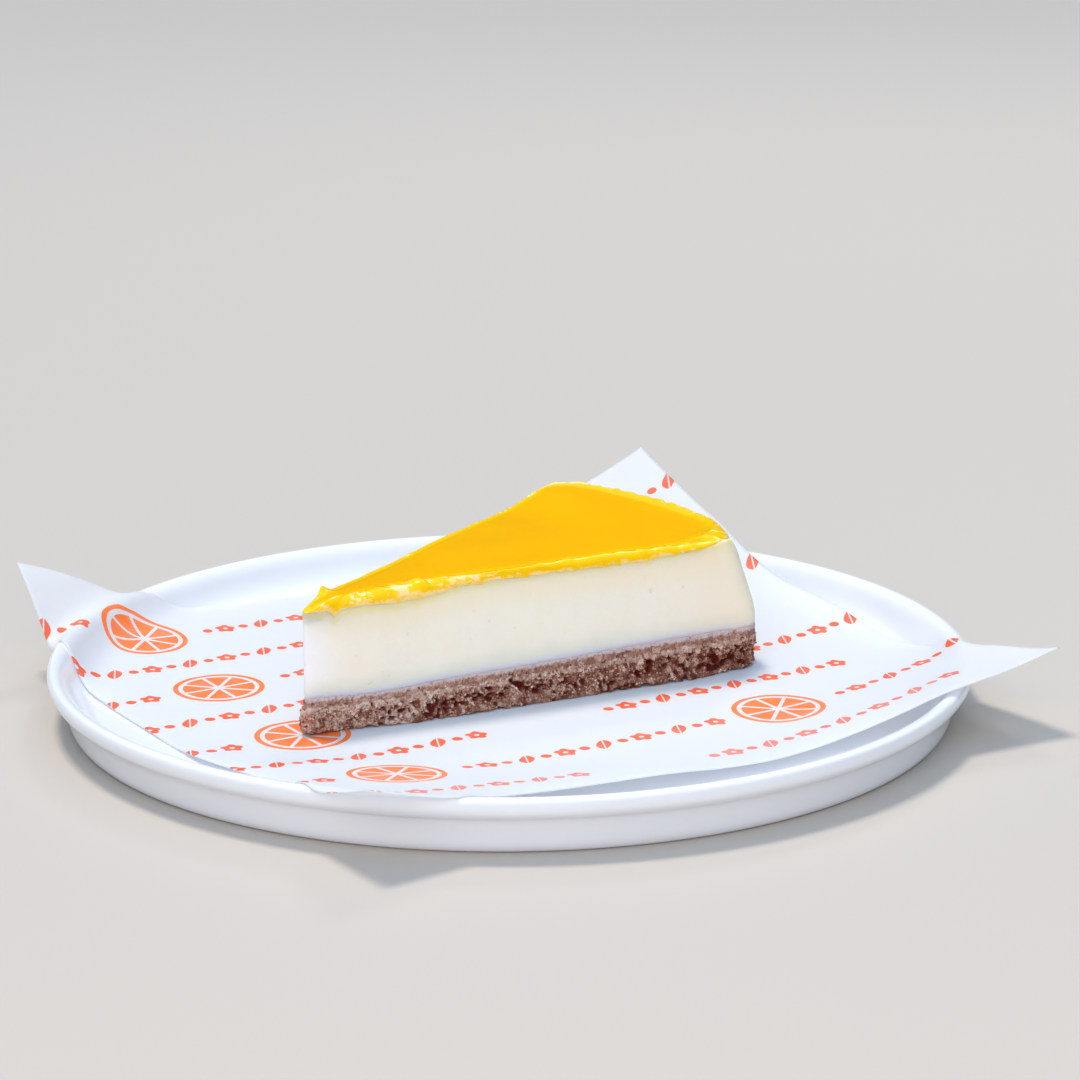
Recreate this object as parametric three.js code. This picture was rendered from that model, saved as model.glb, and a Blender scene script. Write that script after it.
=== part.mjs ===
// A slice of glazed cheesecake on a crumb base, lying on a square sheet of greaseproof paper in a
// round porcelain plate. Millimetres, +Z up. The origin is under the middle of the whole, on the
// surface that the plate stands on.
import * as THREE from 'three';
import { mergeVertices } from 'three/addons/utils/BufferGeometryUtils.js';

// Plate
const PLATE_RADIUS = 120;
const PLATE_HEIGHT = 14.9;
const PLATE_FLOOR_TOP = 5;
const PLATE_FLOOR_RADIUS = 107.5;
const FOOT_RECESS = 1.2;
const FOOT_INNER_RADIUS = 104;
const FOOT_OUTER_RADIUS = 112.6;
const PLATE_STEPS = 72;

// Paper sheet: its plan edges, in its own directions, turned on the plate
const PAPER_TURN = 32;
const PAPER_LEFT = -97.8;
const PAPER_RIGHT = 105.1;
const PAPER_FRONT = -95.2;
const PAPER_BACK = 103;
const PAPER_THICKNESS = 0.4;
const PAPER_FLOOR_TOP = 5.6;
const PAPER_CELLS = 28;
const PLATE_CLEARANCE = 0.2;
const BRIDGE_FOOT_RADIUS = 107.5;
const BRIDGE_TOP_RADIUS = 112.2;
const BRIDGE_TOP = PLATE_HEIGHT + 0.6;
// How each corner curls: `turn` swings its fold off the diagonal (degrees), the rise starts `start`
// from the middle, is `rise` high over the plate's rim and grows with `power`; past the rim the
// sheet goes on at `slope`, bent further by `curl`, and `inU` and `inV` are how far the curl pulls
// the corner in, in plan.
const RIM_DISTANCE = 116;
const CORNERS = {
  left: { u: -1, v: 1, turn: -13, start: 70.5, rise: 3.4, power: 2.7, slope: 1.46, curl: -0.41, inU: 2.6, inV: 3 },
  front: { u: -1, v: -1, turn: 6, start: 63.7, rise: 8.3, power: 1.1, slope: 0.35, curl: 0.07, inU: 1.8, inV: 0.2 },
  right: { u: 1, v: -1, turn: -9, start: 74.1, rise: 10.5, power: 1.7, slope: 0.13, curl: 0.12, inU: 0.7, inV: -0.5 },
  back: { u: 1, v: 1, turn: -10, start: 72.2, rise: 16.8, power: 2.3, slope: 0.52, curl: 0.11, inU: 1.2, inV: 9.3 },
};
// Long shallow waves along two edges: height, middle and half length
const RIGHT_EDGE_WAVE = { height: 3.9, middle: -1.3, reach: 21.4 };
const FRONT_EDGE_WAVE = { height: 2.1, middle: -7.1, reach: 33.4 };
const EDGE_WAVE_START = 0.55;

// Slice, in its own plan: s runs along the front cut from the tip, w goes in from that cut
const TIP_ON_PLATE = [-52.1, -45.8];
const SLICE_TURN = 26.4;
const FRONT_CUT = 130.5;
const BACK_CORNER = [113.6, 80.8];
const TIP_BACK = [11.4, 10.6];
const CAKE_RADIUS = 133;
const TIP_LEG = 5;
const FRONT_CORNER_LEG = 6;
const BACK_CORNER_LEG = 11;
const TIP_BACK_LEG = 7;
const OUTLINE_STEPS = 124;
const SLICE_BOTTOM = 6;
const BASE_TOP = 16.2;
const LAYER_GAP = 0.3;
const CHEESE_TOP_TIP = 37;
const CHEESE_TOP_OUTER = 38.7;
const GLAZE_TOP_TIP = 39.9;
const GLAZE_TOP_OUTER = 41.3;
const GLAZE_TOP_BACK = 38.9;
const GLAZE_THINNEST = 0.5;
const CRUMB_SIZE = 3;
const CRUMB_DEPTH = 1.1;
// The base flares at the foot of the front cut, and at the tip it stands out below its top
const FOOT_SPREAD = 3;
const FOOT_RISE = 7;
const TIP_CRUMBS_OUT = 1.3;
// The outer wall leans: how far it stands out at its foot, at its belly and at its top, and how far
// the knife drew in the top of the front corner
const CAKE_CENTRE = [-4, 0];
const WALL_FOOT_OUT = 1.3;
const WALL_BELLY_OUT = 2.5;
const WALL_BELLY_HEIGHT = 20.5;
const WALL_TOP_OUT = -0.3;
const FRONT_CORNER_PULL = 4.2;
const FRONT_CORNER_REACH = 14;
const LEAN_START = 90;
const LEAN_FULL = 125;

// Repeatable value noise, -1 to 1, on a lattice with a spacing of one unit
function lattice(i, j, k) {
  let h = (i * 374761393 + j * 668265263 + k * 2147483647) | 0;
  h = Math.imul(h ^ (h >>> 13), 1274126177);
  return (((h ^ (h >>> 16)) >>> 0) / 4294967295) * 2 - 1;
}

function noise(x, y, z) {
  const i = Math.floor(x);
  const j = Math.floor(y);
  const k = Math.floor(z);
  const ease = (t) => t * t * (3 - 2 * t);
  const fx = ease(x - i);
  const fy = ease(y - j);
  const fz = ease(z - k);
  const { lerp } = THREE.MathUtils;
  const row = (dj, dk) => lerp(lattice(i, j + dj, k + dk), lattice(i + 1, j + dj, k + dk), fx);
  return lerp(lerp(row(0, 0), row(1, 0), fy), lerp(row(0, 1), row(1, 1), fy), fz);
}

// A closed, indexed geometry from its points and triangles
function solid(points, triangles) {
  const geometry = new THREE.BufferGeometry();
  geometry.setAttribute('position', new THREE.Float32BufferAttribute(points.flat(), 3));
  geometry.setIndex(triangles.flat());
  return geometry;
}

// A solid from closed rings of equal length, bottom ring first, closed at each end by a fan of
// triangles round the mean point of that ring
function ringStack(rings) {
  const count = rings[0].length;
  const middleOf = (ring) => [0, 1, 2].map((axis) => ring.reduce((sum, p) => sum + p[axis], 0) / count);
  const points = [...rings.flat(), middleOf(rings[0]), middleOf(rings.at(-1))];
  const top = (rings.length - 1) * count;
  const lowMiddle = rings.length * count;
  const topMiddle = lowMiddle + 1;
  const triangles = [];
  for (let i = 0; i < count; i++) {
    const next = (i + 1) % count;
    triangles.push([lowMiddle, next, i], [topMiddle, top + i, top + next]);
    for (let r = 0; r + 1 < rings.length; r++) {
      const a = r * count + i;
      const b = r * count + next;
      const c = b + count;
      const d = a + count;
      triangles.push([a, b, c], [a, c, d]);
    }
  }
  return solid(points, triangles);
}

// The plate is one revolved piece: a flat floor, a short upright wall with a hollow neck on the
// outside, a rolled rim and a foot ring round a shallow recess.
function plateGeometry() {
  const profile = new THREE.Path();
  profile.moveTo(0, FOOT_RECESS);
  profile.lineTo(FOOT_INNER_RADIUS - 1.5, FOOT_RECESS);
  profile.quadraticCurveTo(FOOT_INNER_RADIUS, FOOT_RECESS, FOOT_INNER_RADIUS + 0.8, 0);
  profile.lineTo(FOOT_OUTER_RADIUS, 0);
  profile.quadraticCurveTo(FOOT_OUTER_RADIUS + 1.6, 0, FOOT_OUTER_RADIUS + 2.4, 2.4);
  profile.quadraticCurveTo(FOOT_OUTER_RADIUS + 3.3, 7.4, FOOT_OUTER_RADIUS + 4.7, 9.1);
  profile.quadraticCurveTo(PLATE_RADIUS, 10.6, PLATE_RADIUS, 12.8);
  profile.quadraticCurveTo(PLATE_RADIUS, PLATE_HEIGHT, PLATE_RADIUS - 1.7, PLATE_HEIGHT);
  profile.quadraticCurveTo(PLATE_RADIUS - 3.9, PLATE_HEIGHT, PLATE_RADIUS - 5.6, 11.4);
  profile.quadraticCurveTo(PLATE_RADIUS - 8.2, PLATE_FLOOR_TOP + 0.2, PLATE_FLOOR_RADIUS, PLATE_FLOOR_TOP);
  profile.lineTo(0, PLATE_FLOOR_TOP);
  const geometry = new THREE.LatheGeometry(profile.getPoints(3), PLATE_STEPS);
  geometry.rotateX(Math.PI / 2);
  return geometry;
}

// Height that the sheet may not go below at a distance from the plate's middle: the floor, a straight
// bridge over the wall's hollow and the rim, carried on one cell further out
function plateTop(radius) {
  const cell = (PAPER_RIGHT - PAPER_LEFT) / PAPER_CELLS;
  if (radius > PLATE_RADIUS + cell) return -Infinity;
  const up = (radius - BRIDGE_FOOT_RADIUS) / (BRIDGE_TOP_RADIUS - BRIDGE_FOOT_RADIUS);
  return PLATE_FLOOR_TOP + (BRIDGE_TOP - PLATE_FLOOR_TOP) * THREE.MathUtils.clamp(up, 0, 1);
}

// Rise of one curled corner at a place in the sheet's own plan
function cornerRise(corner, u, v) {
  const across = THREE.MathUtils.degToRad(corner.turn) + Math.atan2(corner.v, corner.u);
  const out = u * Math.cos(across) + v * Math.sin(across);
  const inner = THREE.MathUtils.clamp((out - corner.start) / (RIM_DISTANCE - corner.start), 0, 1);
  const past = Math.max(out - RIM_DISTANCE, 0);
  return corner.rise * Math.pow(inner, corner.power) + corner.slope * past + (corner.curl * past * past) / 20;
}

function edgeWave(wave, along, outward) {
  const near = THREE.MathUtils.clamp((outward - EDGE_WAVE_START) / (1 - EDGE_WAVE_START), 0, 1);
  return wave.height * Math.exp(-(((along - wave.middle) / wave.reach) ** 2)) * near * near;
}

// Top surface of the sheet for a, b from -1 to 1 across it: it lies on the plate's floor, its four
// corners curl up and over the rim, and it never dips into the plate.
function paperPoint(a, b) {
  let u = (PAPER_LEFT + PAPER_RIGHT) / 2 + (a * (PAPER_RIGHT - PAPER_LEFT)) / 2;
  let v = (PAPER_FRONT + PAPER_BACK) / 2 + (b * (PAPER_BACK - PAPER_FRONT)) / 2;
  const corners = Object.values(CORNERS);
  for (const corner of corners) {
    const weight = Math.max(a * corner.u, 0) ** 2 * Math.max(b * corner.v, 0) ** 2;
    u -= corner.u * corner.inU * weight;
    v -= corner.v * corner.inV * weight;
  }
  let z = PAPER_FLOOR_TOP + edgeWave(RIGHT_EDGE_WAVE, v, a) + edgeWave(FRONT_EDGE_WAVE, u, -b);
  for (const corner of corners) z += cornerRise(corner, u, v);
  const turn = THREE.MathUtils.degToRad(PAPER_TURN);
  const x = u * Math.cos(turn) - v * Math.sin(turn);
  const y = u * Math.sin(turn) + v * Math.cos(turn);
  z = Math.max(z, plateTop(Math.hypot(x, y)) + PAPER_THICKNESS + PLATE_CLEARANCE);
  return [x, y, z];
}

function paperGeometry() {
  const n = PAPER_CELLS;
  const side = n + 1;
  const top = [];
  for (let j = 0; j <= n; j++) {
    for (let i = 0; i <= n; i++) top.push(paperPoint((2 * i) / n - 1, (2 * j) / n - 1));
  }
  const bottom = top.map(([x, y, z]) => [x, y, z - PAPER_THICKNESS]);
  const under = top.length;
  const triangles = [];
  for (let j = 0; j < n; j++) {
    for (let i = 0; i < n; i++) {
      const a = j * side + i;
      const b = a + 1;
      const c = b + side;
      const d = a + side;
      triangles.push([a, b, c], [a, c, d]);
      triangles.push([under + a, under + c, under + b], [under + a, under + d, under + c]);
    }
  }
  const border = [];
  for (let i = 0; i < n; i++) border.push(i);
  for (let j = 0; j < n; j++) border.push(j * side + n);
  for (let i = n; i > 0; i--) border.push(n * side + i);
  for (let j = n; j > 0; j--) border.push(j * side);
  border.forEach((a, i) => {
    const b = border[(i + 1) % border.length];
    triangles.push([a, under + a, under + b], [a, under + b, b]);
  });
  return solid([...top, ...bottom], triangles);
}

// Plan outline of the slice, corners rounded, anticlockwise from the tip along the front cut
function sliceOutline() {
  const tip = new THREE.Vector2(0, 0);
  const front = new THREE.Vector2(FRONT_CUT, 0);
  const back = new THREE.Vector2(...BACK_CORNER);
  const tipBack = new THREE.Vector2(...TIP_BACK);
  const chord = back.clone().sub(front);
  const half = chord.length() / 2;
  const inward = new THREE.Vector2(-chord.y, chord.x).normalize();
  const centre = front.clone().add(back).multiplyScalar(0.5);
  centre.addScaledVector(inward, Math.sqrt(CAKE_RADIUS ** 2 - half ** 2));
  const angleOf = (p) => Math.atan2(p.y - centre.y, p.x - centre.x);
  const from = angleOf(front) + FRONT_CORNER_LEG / CAKE_RADIUS;
  const to = angleOf(back) - BACK_CORNER_LEG / CAKE_RADIUS;
  const onArc = (angle) =>
    new THREE.Vector2(CAKE_RADIUS * Math.cos(angle), CAKE_RADIUS * Math.sin(angle)).add(centre);
  const toward = (a, b, leg) => a.clone().addScaledVector(b.clone().sub(a).normalize(), leg);
  const path = new THREE.Path();
  path.moveTo(TIP_LEG, 0);
  path.lineTo(FRONT_CUT - FRONT_CORNER_LEG, 0);
  path.quadraticCurveTo(front.x, front.y, onArc(from).x, onArc(from).y);
  path.absarc(centre.x, centre.y, CAKE_RADIUS, from, to, false);
  const backCut = toward(back, tipBack, BACK_CORNER_LEG);
  path.quadraticCurveTo(back.x, back.y, backCut.x, backCut.y);
  const backEnd = toward(tipBack, back, TIP_BACK_LEG);
  path.lineTo(backEnd.x, backEnd.y);
  const tipSide = toward(tipBack, tip, TIP_BACK_LEG);
  path.quadraticCurveTo(tipBack.x, tipBack.y, tipSide.x, tipSide.y);
  const tipEnd = toward(tip, tipBack, TIP_LEG);
  path.lineTo(tipEnd.x, tipEnd.y);
  path.quadraticCurveTo(tip.x, tip.y, TIP_LEG, 0);
  return path.getSpacedPoints(OUTLINE_STEPS).slice(0, OUTLINE_STEPS);
}

const OUTLINE = sliceOutline();

// A smooth hump, 1 at its middle, over a distance from that middle
const hump = (distance, reach) => Math.exp(-((distance / reach) ** 2));

// How much of each outline point lies on the cake's outer wall, 0 on the cuts and 1 on the wall
function outerShare(point) {
  const away = point.distanceTo(new THREE.Vector2(...TIP_BACK));
  return THREE.MathUtils.smoothstep(away, FRONT_CUT - 16, FRONT_CUT - 8);
}

// 1 on the front cut and 0 away from it
const frontShare = (point) => 1 - THREE.MathUtils.smoothstep(point.y, 0, 2);

// A plan point moved out from the cake's centre as far as the outer wall leans at that height
function leaned(x, y, z) {
  const { clamp, smoothstep } = THREE.MathUtils;
  const above = clamp((z - WALL_BELLY_HEIGHT) / (CHEESE_TOP_OUTER - WALL_BELLY_HEIGHT), 0, 1.1);
  const below = clamp((WALL_BELLY_HEIGHT - z) / (WALL_BELLY_HEIGHT - SLICE_BOTTOM), 0, 1);
  const pull = FRONT_CORNER_PULL * Math.exp(-((y / FRONT_CORNER_REACH) ** 2));
  const upper = (WALL_TOP_OUT - WALL_BELLY_OUT - pull) * above;
  const out = WALL_BELLY_OUT + upper + (WALL_FOOT_OUT - WALL_BELLY_OUT) * below;
  const away = new THREE.Vector2(x - CAKE_CENTRE[0], y - CAKE_CENTRE[1]);
  const stretch = 1 + (out * smoothstep(away.length(), LEAN_START, LEAN_FULL)) / away.length();
  return [CAKE_CENTRE[0] + away.x * stretch, CAKE_CENTRE[1] + away.y * stretch, z];
}

// One ring of the slice: the outline moved in by `inset`, less near the narrow tip, with the height
// from `height`; both may vary from point to point.
function sliceRing(inset, height) {
  return OUTLINE.map((point, i) => {
    const before = OUTLINE[(i + OUTLINE_STEPS - 1) % OUTLINE_STEPS];
    const after = OUTLINE[(i + 1) % OUTLINE_STEPS];
    const along = after.clone().sub(before).normalize();
    const narrow = 0.4 + 0.22 * point.length();
    const distance = Math.min(typeof inset === 'function' ? inset(point) : inset, narrow);
    const x = point.x - along.y * distance;
    const y = point.y + along.x * distance;
    return leaned(x, y, typeof height === 'function' ? height(point) : height);
  });
}

// Height of the base's top: it is thinner along the front cut, most of all near the tip
function baseTop(point) {
  const { smoothstep } = THREE.MathUtils;
  const along = 1.8 * smoothstep(point.x, 40, FRONT_CUT - 5) - 1 - hump(point.x - 22, 13);
  return BASE_TOP + along * (1 - smoothstep(point.y, 3, 20));
}

// Crumbs pressed together: the side wall stands proud and falls back from crumb to crumb
function crumb(point, z) {
  const at = 1 / CRUMB_SIZE;
  const coarse = noise(point.x * at, point.y * at, z * at * 1.4);
  const fine = noise(point.x * at * 2.3 + 40, point.y * at * 2.3, z * at * 2.3);
  return CRUMB_DEPTH * (0.3 + 0.6 * coarse + 0.35 * fine);
}

// How far the base stands out from the cut at a height: its flared foot, and the crumbs at the tip
function baseSpread(point, z) {
  const { smoothstep } = THREE.MathUtils;
  const middle = smoothstep(point.x, 4, 26) * (1 - smoothstep(point.x, 100, 126));
  const rise = Math.min((z - SLICE_BOTTOM) / FOOT_RISE, 1);
  const foot = FOOT_SPREAD * frontShare(point) * middle * (1 - rise) ** 1.3;
  return foot + TIP_CRUMBS_OUT * hump(point.length(), 6) * (1 - smoothstep(z, 11, BASE_TOP - 0.5));
}

function baseGeometry() {
  const levels = 5;
  const rings = [sliceRing((p) => 0.7 + crumb(p, 0) - baseSpread(p, SLICE_BOTTOM), SLICE_BOTTOM)];
  for (let k = 0; k <= levels; k++) {
    const share = k / levels;
    const z = SLICE_BOTTOM + 0.9 + share * (BASE_TOP - SLICE_BOTTOM - 1.4);
    const low = (p) => (k === 0 ? 0.4 * Math.abs(noise(p.x / 4, p.y / 4, 9)) : 0);
    const calm = 1 - 0.6 * THREE.MathUtils.smoothstep(k, levels - 2, levels);
    rings.push(
      sliceRing(
        (p) => calm * crumb(p, z) - baseSpread(p, z),
        (p) => z + (baseTop(p) - BASE_TOP) * share + low(p),
      ),
    );
  }
  rings.push(sliceRing(1.2, baseTop));
  return ringStack(rings);
}

// Top of the filling: higher from a third of the front cut on, lower along the back cut and the outer
// wall, highest at the front corner, with the slow waves of a hand-poured top
function cheeseTop(point) {
  const { lerp, smoothstep } = THREE.MathUtils;
  const level = lerp(CHEESE_TOP_TIP, CHEESE_TOP_OUTER, smoothstep(point.x, 32, 48));
  const toCorner = 0.6 * smoothstep(point.x, 99, 107) + 1.5 * smoothstep(point.x, 116, 128);
  const corner = toCorner * (1 - smoothstep(point.y, 2, 16));
  const backCut = 1.3 * smoothstep(point.y, 8, 16) * (1 - smoothstep(point.x, 90, 108));
  const away = (0.9 * outerShare(point) + backCut) * (1 - frontShare(point));
  return level + corner - away + 0.26 * noise(point.x / 4.5, point.y / 4.5, 6);
}

// Inset of the ring where the filling's top and the underside of the glaze begin
const seat = (point) => 1 + outerShare(point) + 2.2 * hump(point.x - FRONT_CUT, 5) * frontShare(point);

function cheeseGeometry() {
  const bottom = (lift) => (p) => baseTop(p) + LAYER_GAP + lift;
  const edge = (drop, inset) =>
    sliceRing((p) => inset * (0.3 + outerShare(p)), (p) => cheeseTop(p) - drop);
  return ringStack([
    sliceRing(1.2, bottom(0)),
    sliceRing(0.3, bottom(1)),
    sliceRing(0.1, bottom(8)),
    edge(6, 0),
    edge(3, 0.2),
    edge(1.2, 0.6),
    edge(0.2, 1),
    sliceRing(seat, cheeseTop),
  ]);
}

// Top of the glaze: higher along the front cut and the outer wall than along the back cut, drawn up
// to a small crest on the corner beside the tip, and low at the tip itself
function glazeTop(point) {
  const { lerp, smoothstep } = THREE.MathUtils;
  const front = lerp(GLAZE_TOP_TIP, GLAZE_TOP_OUTER, smoothstep(point.x, 10, 60));
  const back = GLAZE_TOP_BACK + 0.9 * smoothstep(point.x, 30, 60) + 2.1 * smoothstep(point.x, 85, 110);
  const tipBack = new THREE.Vector2(...TIP_BACK);
  const backCut = new THREE.Vector2(...BACK_CORNER).sub(tipBack).normalize();
  const fromTip = point.clone().sub(tipBack);
  const fromBack = Math.max(fromTip.x * backCut.y - fromTip.y * backCut.x, 0);
  const across = Math.max(point.y, 0) / (Math.max(point.y, 0) + fromBack + 0.01);
  const corners = 1.5 * hump(fromTip.length(), 2.6) - 2.3 * hump(point.length(), 8);
  const meniscus = 0.8 * outerShare(point) * (1 - 0.5 * smoothstep(point.y, 55, 80));
  const level = lerp(front, back, across ** 2) + corners + meniscus;
  return Math.max(level, cheeseTop(point) + LAYER_GAP + GLAZE_THINNEST);
}

// Plan depth of the glaze's rounded edge: broad near the tip, on the outer wall and at its front corner
function shoulder(point) {
  const { smoothstep } = THREE.MathUtils;
  const nearTip = 3 * (1 - smoothstep(point.x, 34, 56));
  const front = frontShare(point) * (nearTip + 1.5 * smoothstep(point.x, 62, 80));
  const frontCorner = 1.4 * hump(Math.hypot(point.x - FRONT_CUT, point.y), 12);
  return 0.75 + 1.3 * outerShare(point) + front + frontCorner;
}

// The glaze lies on the filling with a rounded, uneven edge that set as it ran over the cuts
function glazeGeometry() {
  const turns = 4;
  const rings = [sliceRing(seat, (p) => cheeseTop(p) + LAYER_GAP)];
  for (let k = 0; k <= turns; k++) {
    const angle = (k / turns) * (Math.PI / 2);
    const swell = (p) => 0.2 * noise(p.x / 5, p.y / 5, 3) * Math.sin(2 * angle);
    const inset = (p) => 0.1 + 0.3 * outerShare(p) + shoulder(p) * (1 - Math.cos(angle)) + swell(p);
    const height = (p) => {
      const low = cheeseTop(p) + LAYER_GAP;
      return low + (glazeTop(p) - low) * Math.sin(angle);
    };
    rings.push(sliceRing(inset, height));
  }
  return ringStack(rings);
}

const PORCELAIN = new THREE.MeshStandardMaterial({ color: 0xf2f5f8, roughness: 0.15, metalness: 0 });
const PAPER = new THREE.MeshStandardMaterial({ color: 0xf3f6fa, roughness: 0.75, metalness: 0 });
const CRUMB = new THREE.MeshStandardMaterial({ color: 0x7a5548, roughness: 0.9, metalness: 0 });
const CHEESE = new THREE.MeshStandardMaterial({ color: 0xf0eddc, roughness: 0.5, metalness: 0 });
const GLAZE = new THREE.MeshStandardMaterial({ color: 0xffc400, roughness: 0.12, metalness: 0 });

function named(name, geometry, material) {
  geometry.deleteAttribute('normal');
  geometry.deleteAttribute('uv');
  const mesh = new THREE.Mesh(mergeVertices(geometry, 1e-3), material);
  mesh.name = name;
  return mesh;
}

const slice = new THREE.Group();
slice.add(named('crumb_base', baseGeometry(), CRUMB));
slice.add(named('cheese_filling', cheeseGeometry(), CHEESE));
slice.add(named('glaze', glazeGeometry(), GLAZE));
slice.rotation.z = THREE.MathUtils.degToRad(SLICE_TURN);
slice.position.set(...TIP_ON_PLATE, 0);

const dish = new THREE.Group();
dish.add(named('plate', plateGeometry(), PORCELAIN));
dish.add(named('paper_liner', paperGeometry(), PAPER));
dish.add(slice);

// The curled corners reach out unevenly, so the whole is moved to stand over its own middle
const middle = new THREE.Box3().setFromObject(dish, true).getCenter(new THREE.Vector3());
dish.position.set(-middle.x, -middle.y, 0);

const cheesecakeOnPlate = new THREE.Group();
cheesecakeOnPlate.add(dish);

export default cheesecakeOnPlate;
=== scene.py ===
import math

import bpy
import numpy as np
from mathutils import Matrix, Vector
from mathutils.geometry import delaunay_2d_cdt


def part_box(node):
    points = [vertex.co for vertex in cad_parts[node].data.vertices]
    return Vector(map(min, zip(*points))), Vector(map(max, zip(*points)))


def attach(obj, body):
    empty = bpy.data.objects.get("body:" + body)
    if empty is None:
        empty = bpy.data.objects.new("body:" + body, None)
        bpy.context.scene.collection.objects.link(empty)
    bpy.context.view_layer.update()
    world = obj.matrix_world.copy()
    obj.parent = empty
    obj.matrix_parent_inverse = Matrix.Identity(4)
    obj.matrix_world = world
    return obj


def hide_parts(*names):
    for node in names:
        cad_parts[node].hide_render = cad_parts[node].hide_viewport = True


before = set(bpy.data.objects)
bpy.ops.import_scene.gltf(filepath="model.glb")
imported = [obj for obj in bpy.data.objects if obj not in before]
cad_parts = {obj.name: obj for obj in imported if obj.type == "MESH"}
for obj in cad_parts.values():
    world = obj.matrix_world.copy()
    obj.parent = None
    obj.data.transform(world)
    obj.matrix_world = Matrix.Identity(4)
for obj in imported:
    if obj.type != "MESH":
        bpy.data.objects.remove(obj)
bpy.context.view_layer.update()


# Table, camera and light. The dish stands on a plain pale matt table, seen from a low seat in front
# of it. A high window behind its left lights it under a bluish sky, with a small lamp at the back
# and a broad warm one in front, which shows in no gloss.

MILLIMETRE = 0.001
plate_low, plate_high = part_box("plate")
PLATE_AXIS = Vector(((plate_low.x + plate_high.x) / 2, (plate_low.y + plate_high.y) / 2, 0))


def linear(red, green, blue):
    """A screen colour, 0 to 255, as the light-linear colour that shaders take."""
    shares = [channel / 255 for channel in (red, green, blue)]
    return (*[s / 12.92 if s < 0.04045 else ((s + 0.055) / 1.055) ** 2.4 for s in shares], 1)


class Wire:
    """A socket of a node tree. Arithmetic on it adds Math nodes, and node() adds any other node."""

    def __init__(self, tree, socket=None):
        self.tree = tree
        self.socket = socket

    def node(self, kind, settings, sockets, output=0):
        made = self.tree.nodes.new(kind)
        for name, value in settings.items():
            if name == "stops":
                ramp = made.color_ramp.elements
                while len(ramp) < len(value):
                    ramp.new(0.5)
                for element, (position, colour) in zip(ramp, value):
                    element.position = position
                    element.color = colour
            else:
                setattr(made, name, value)
        for key, value in sockets.items():
            if isinstance(value, Wire):
                self.tree.links.new(value.socket, made.inputs[key])
            else:
                made.inputs[key].default_value = value
        return Wire(self.tree, made.outputs[output] if made.outputs else None)

    def maths(self, operation, *values):
        return self.node("ShaderNodeMath", {"operation": operation}, dict(enumerate(values)))

    def mixed(self, first, second):
        """The first colour where this value is 0, the second where it is 1."""
        return self.node("ShaderNodeMix", {"data_type": "RGBA"}, {0: self, 6: first, 7: second}, 2)

    def axis(self, name):
        """One axis of a vector."""
        return self.node("ShaderNodeSeparateXYZ", {}, {0: self}, name)

    def between(self, low, high):
        """0 below low and 1 above high, with a soft step from one to the other."""
        step = {"interpolation_type": "SMOOTHSTEP"}
        return self.node("ShaderNodeMapRange", step, {0: self, 1: low, 2: high})

    def __add__(self, other):
        return self.maths("ADD", self, other)

    def __sub__(self, other):
        return self.maths("SUBTRACT", self, other)

    def __rsub__(self, other):
        return self.maths("SUBTRACT", other, self)

    def __mul__(self, other):
        return self.maths("MULTIPLY", self, other)

    def __truediv__(self, other):
        return self.maths("DIVIDE", self, other)

    def __abs__(self):
        return self.maths("ABSOLUTE", self)

    __radd__ = __add__
    __rmul__ = __mul__


def finish(name):
    """A new material and a wire at the start of its empty tree."""
    material = bpy.data.materials.new(name)
    material.use_nodes = True
    material.node_tree.nodes.clear()
    return material, Wire(material.node_tree)


def millimetres(start):
    """Object coordinates in millimetres, and each of the three alone."""
    metres = start.node("ShaderNodeTexCoord", {}, {}, "Object")
    place = start.node("ShaderNodeVectorMath", {"operation": "SCALE"}, {0: metres, "Scale": 1 / MILLIMETRE})
    return place, [place.axis(name) for name in "XYZ"]


def cloud(start, place, size, detail=2.0, roughness=0.5):
    """Soft noise, about 0 to 1, with lumps of a size in millimetres."""
    sockets = {"Vector": place, "Scale": 1 / size, "Detail": detail, "Roughness": roughness}
    return start.node("ShaderNodeTexNoise", {}, sockets)


def bumped(start, height, depth):
    """A normal raised by height, 0 to 1, times a depth in millimetres."""
    sockets = {"Height": height, "Distance": depth * MILLIMETRE, "Strength": 1.0}
    return start.node("ShaderNodeBump", {}, sockets)


def surfaced(start, sheer=0.0, **sockets):
    """Ends the tree in one principled surface; a double underscore in a name stands for a space.

    A sheer share lets that much of the light pass through, scattered, as thin paper does. It may
    vary over the surface.
    """
    named = {name.replace("__", " "): value for name, value in sockets.items()}
    shader = start.node("ShaderNodeBsdfPrincipled", {}, named)
    if sheer:
        through = start.node("ShaderNodeBsdfTranslucent", {}, {"Color": (0.985, 0.985, 0.985, 1)})
        shader = start.node("ShaderNodeMixShader", {}, {0: sheer, 1: shader, 2: through})
    start.node("ShaderNodeOutputMaterial", {}, {"Surface": shader})


def added(name, data):
    """A new object in the scene, at the origin."""
    made = bpy.data.objects.new(name, data)
    bpy.context.scene.collection.objects.link(made)
    return made


TABLE_HALF = 12.0
table = added("table_top", bpy.data.meshes.new("table_top"))
table_corners = [(x * TABLE_HALF, y * TABLE_HALF, 0) for x, y in ((-1, -1), (1, -1), (1, 1), (-1, 1))]
table.data.from_pydata(table_corners, [], [(0, 1, 2, 3)])
table_paint, start = finish("pale_table")
surfaced(start, Base__Color=linear(196, 190, 182), Roughness=0.7, Specular__IOR__Level=0.2)
table.data.materials.append(table_paint)

# The camera's place from the foot of the plate's axis, and how its frame leans
CAMERA_PLACE = Vector((7.93, -802.08, 254.41)) * MILLIMETRE
CAMERA_TILT = math.radians(14.70)
CAMERA_ROLL = math.radians(0.285)
CAMERA_LENS = 106.67

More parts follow.
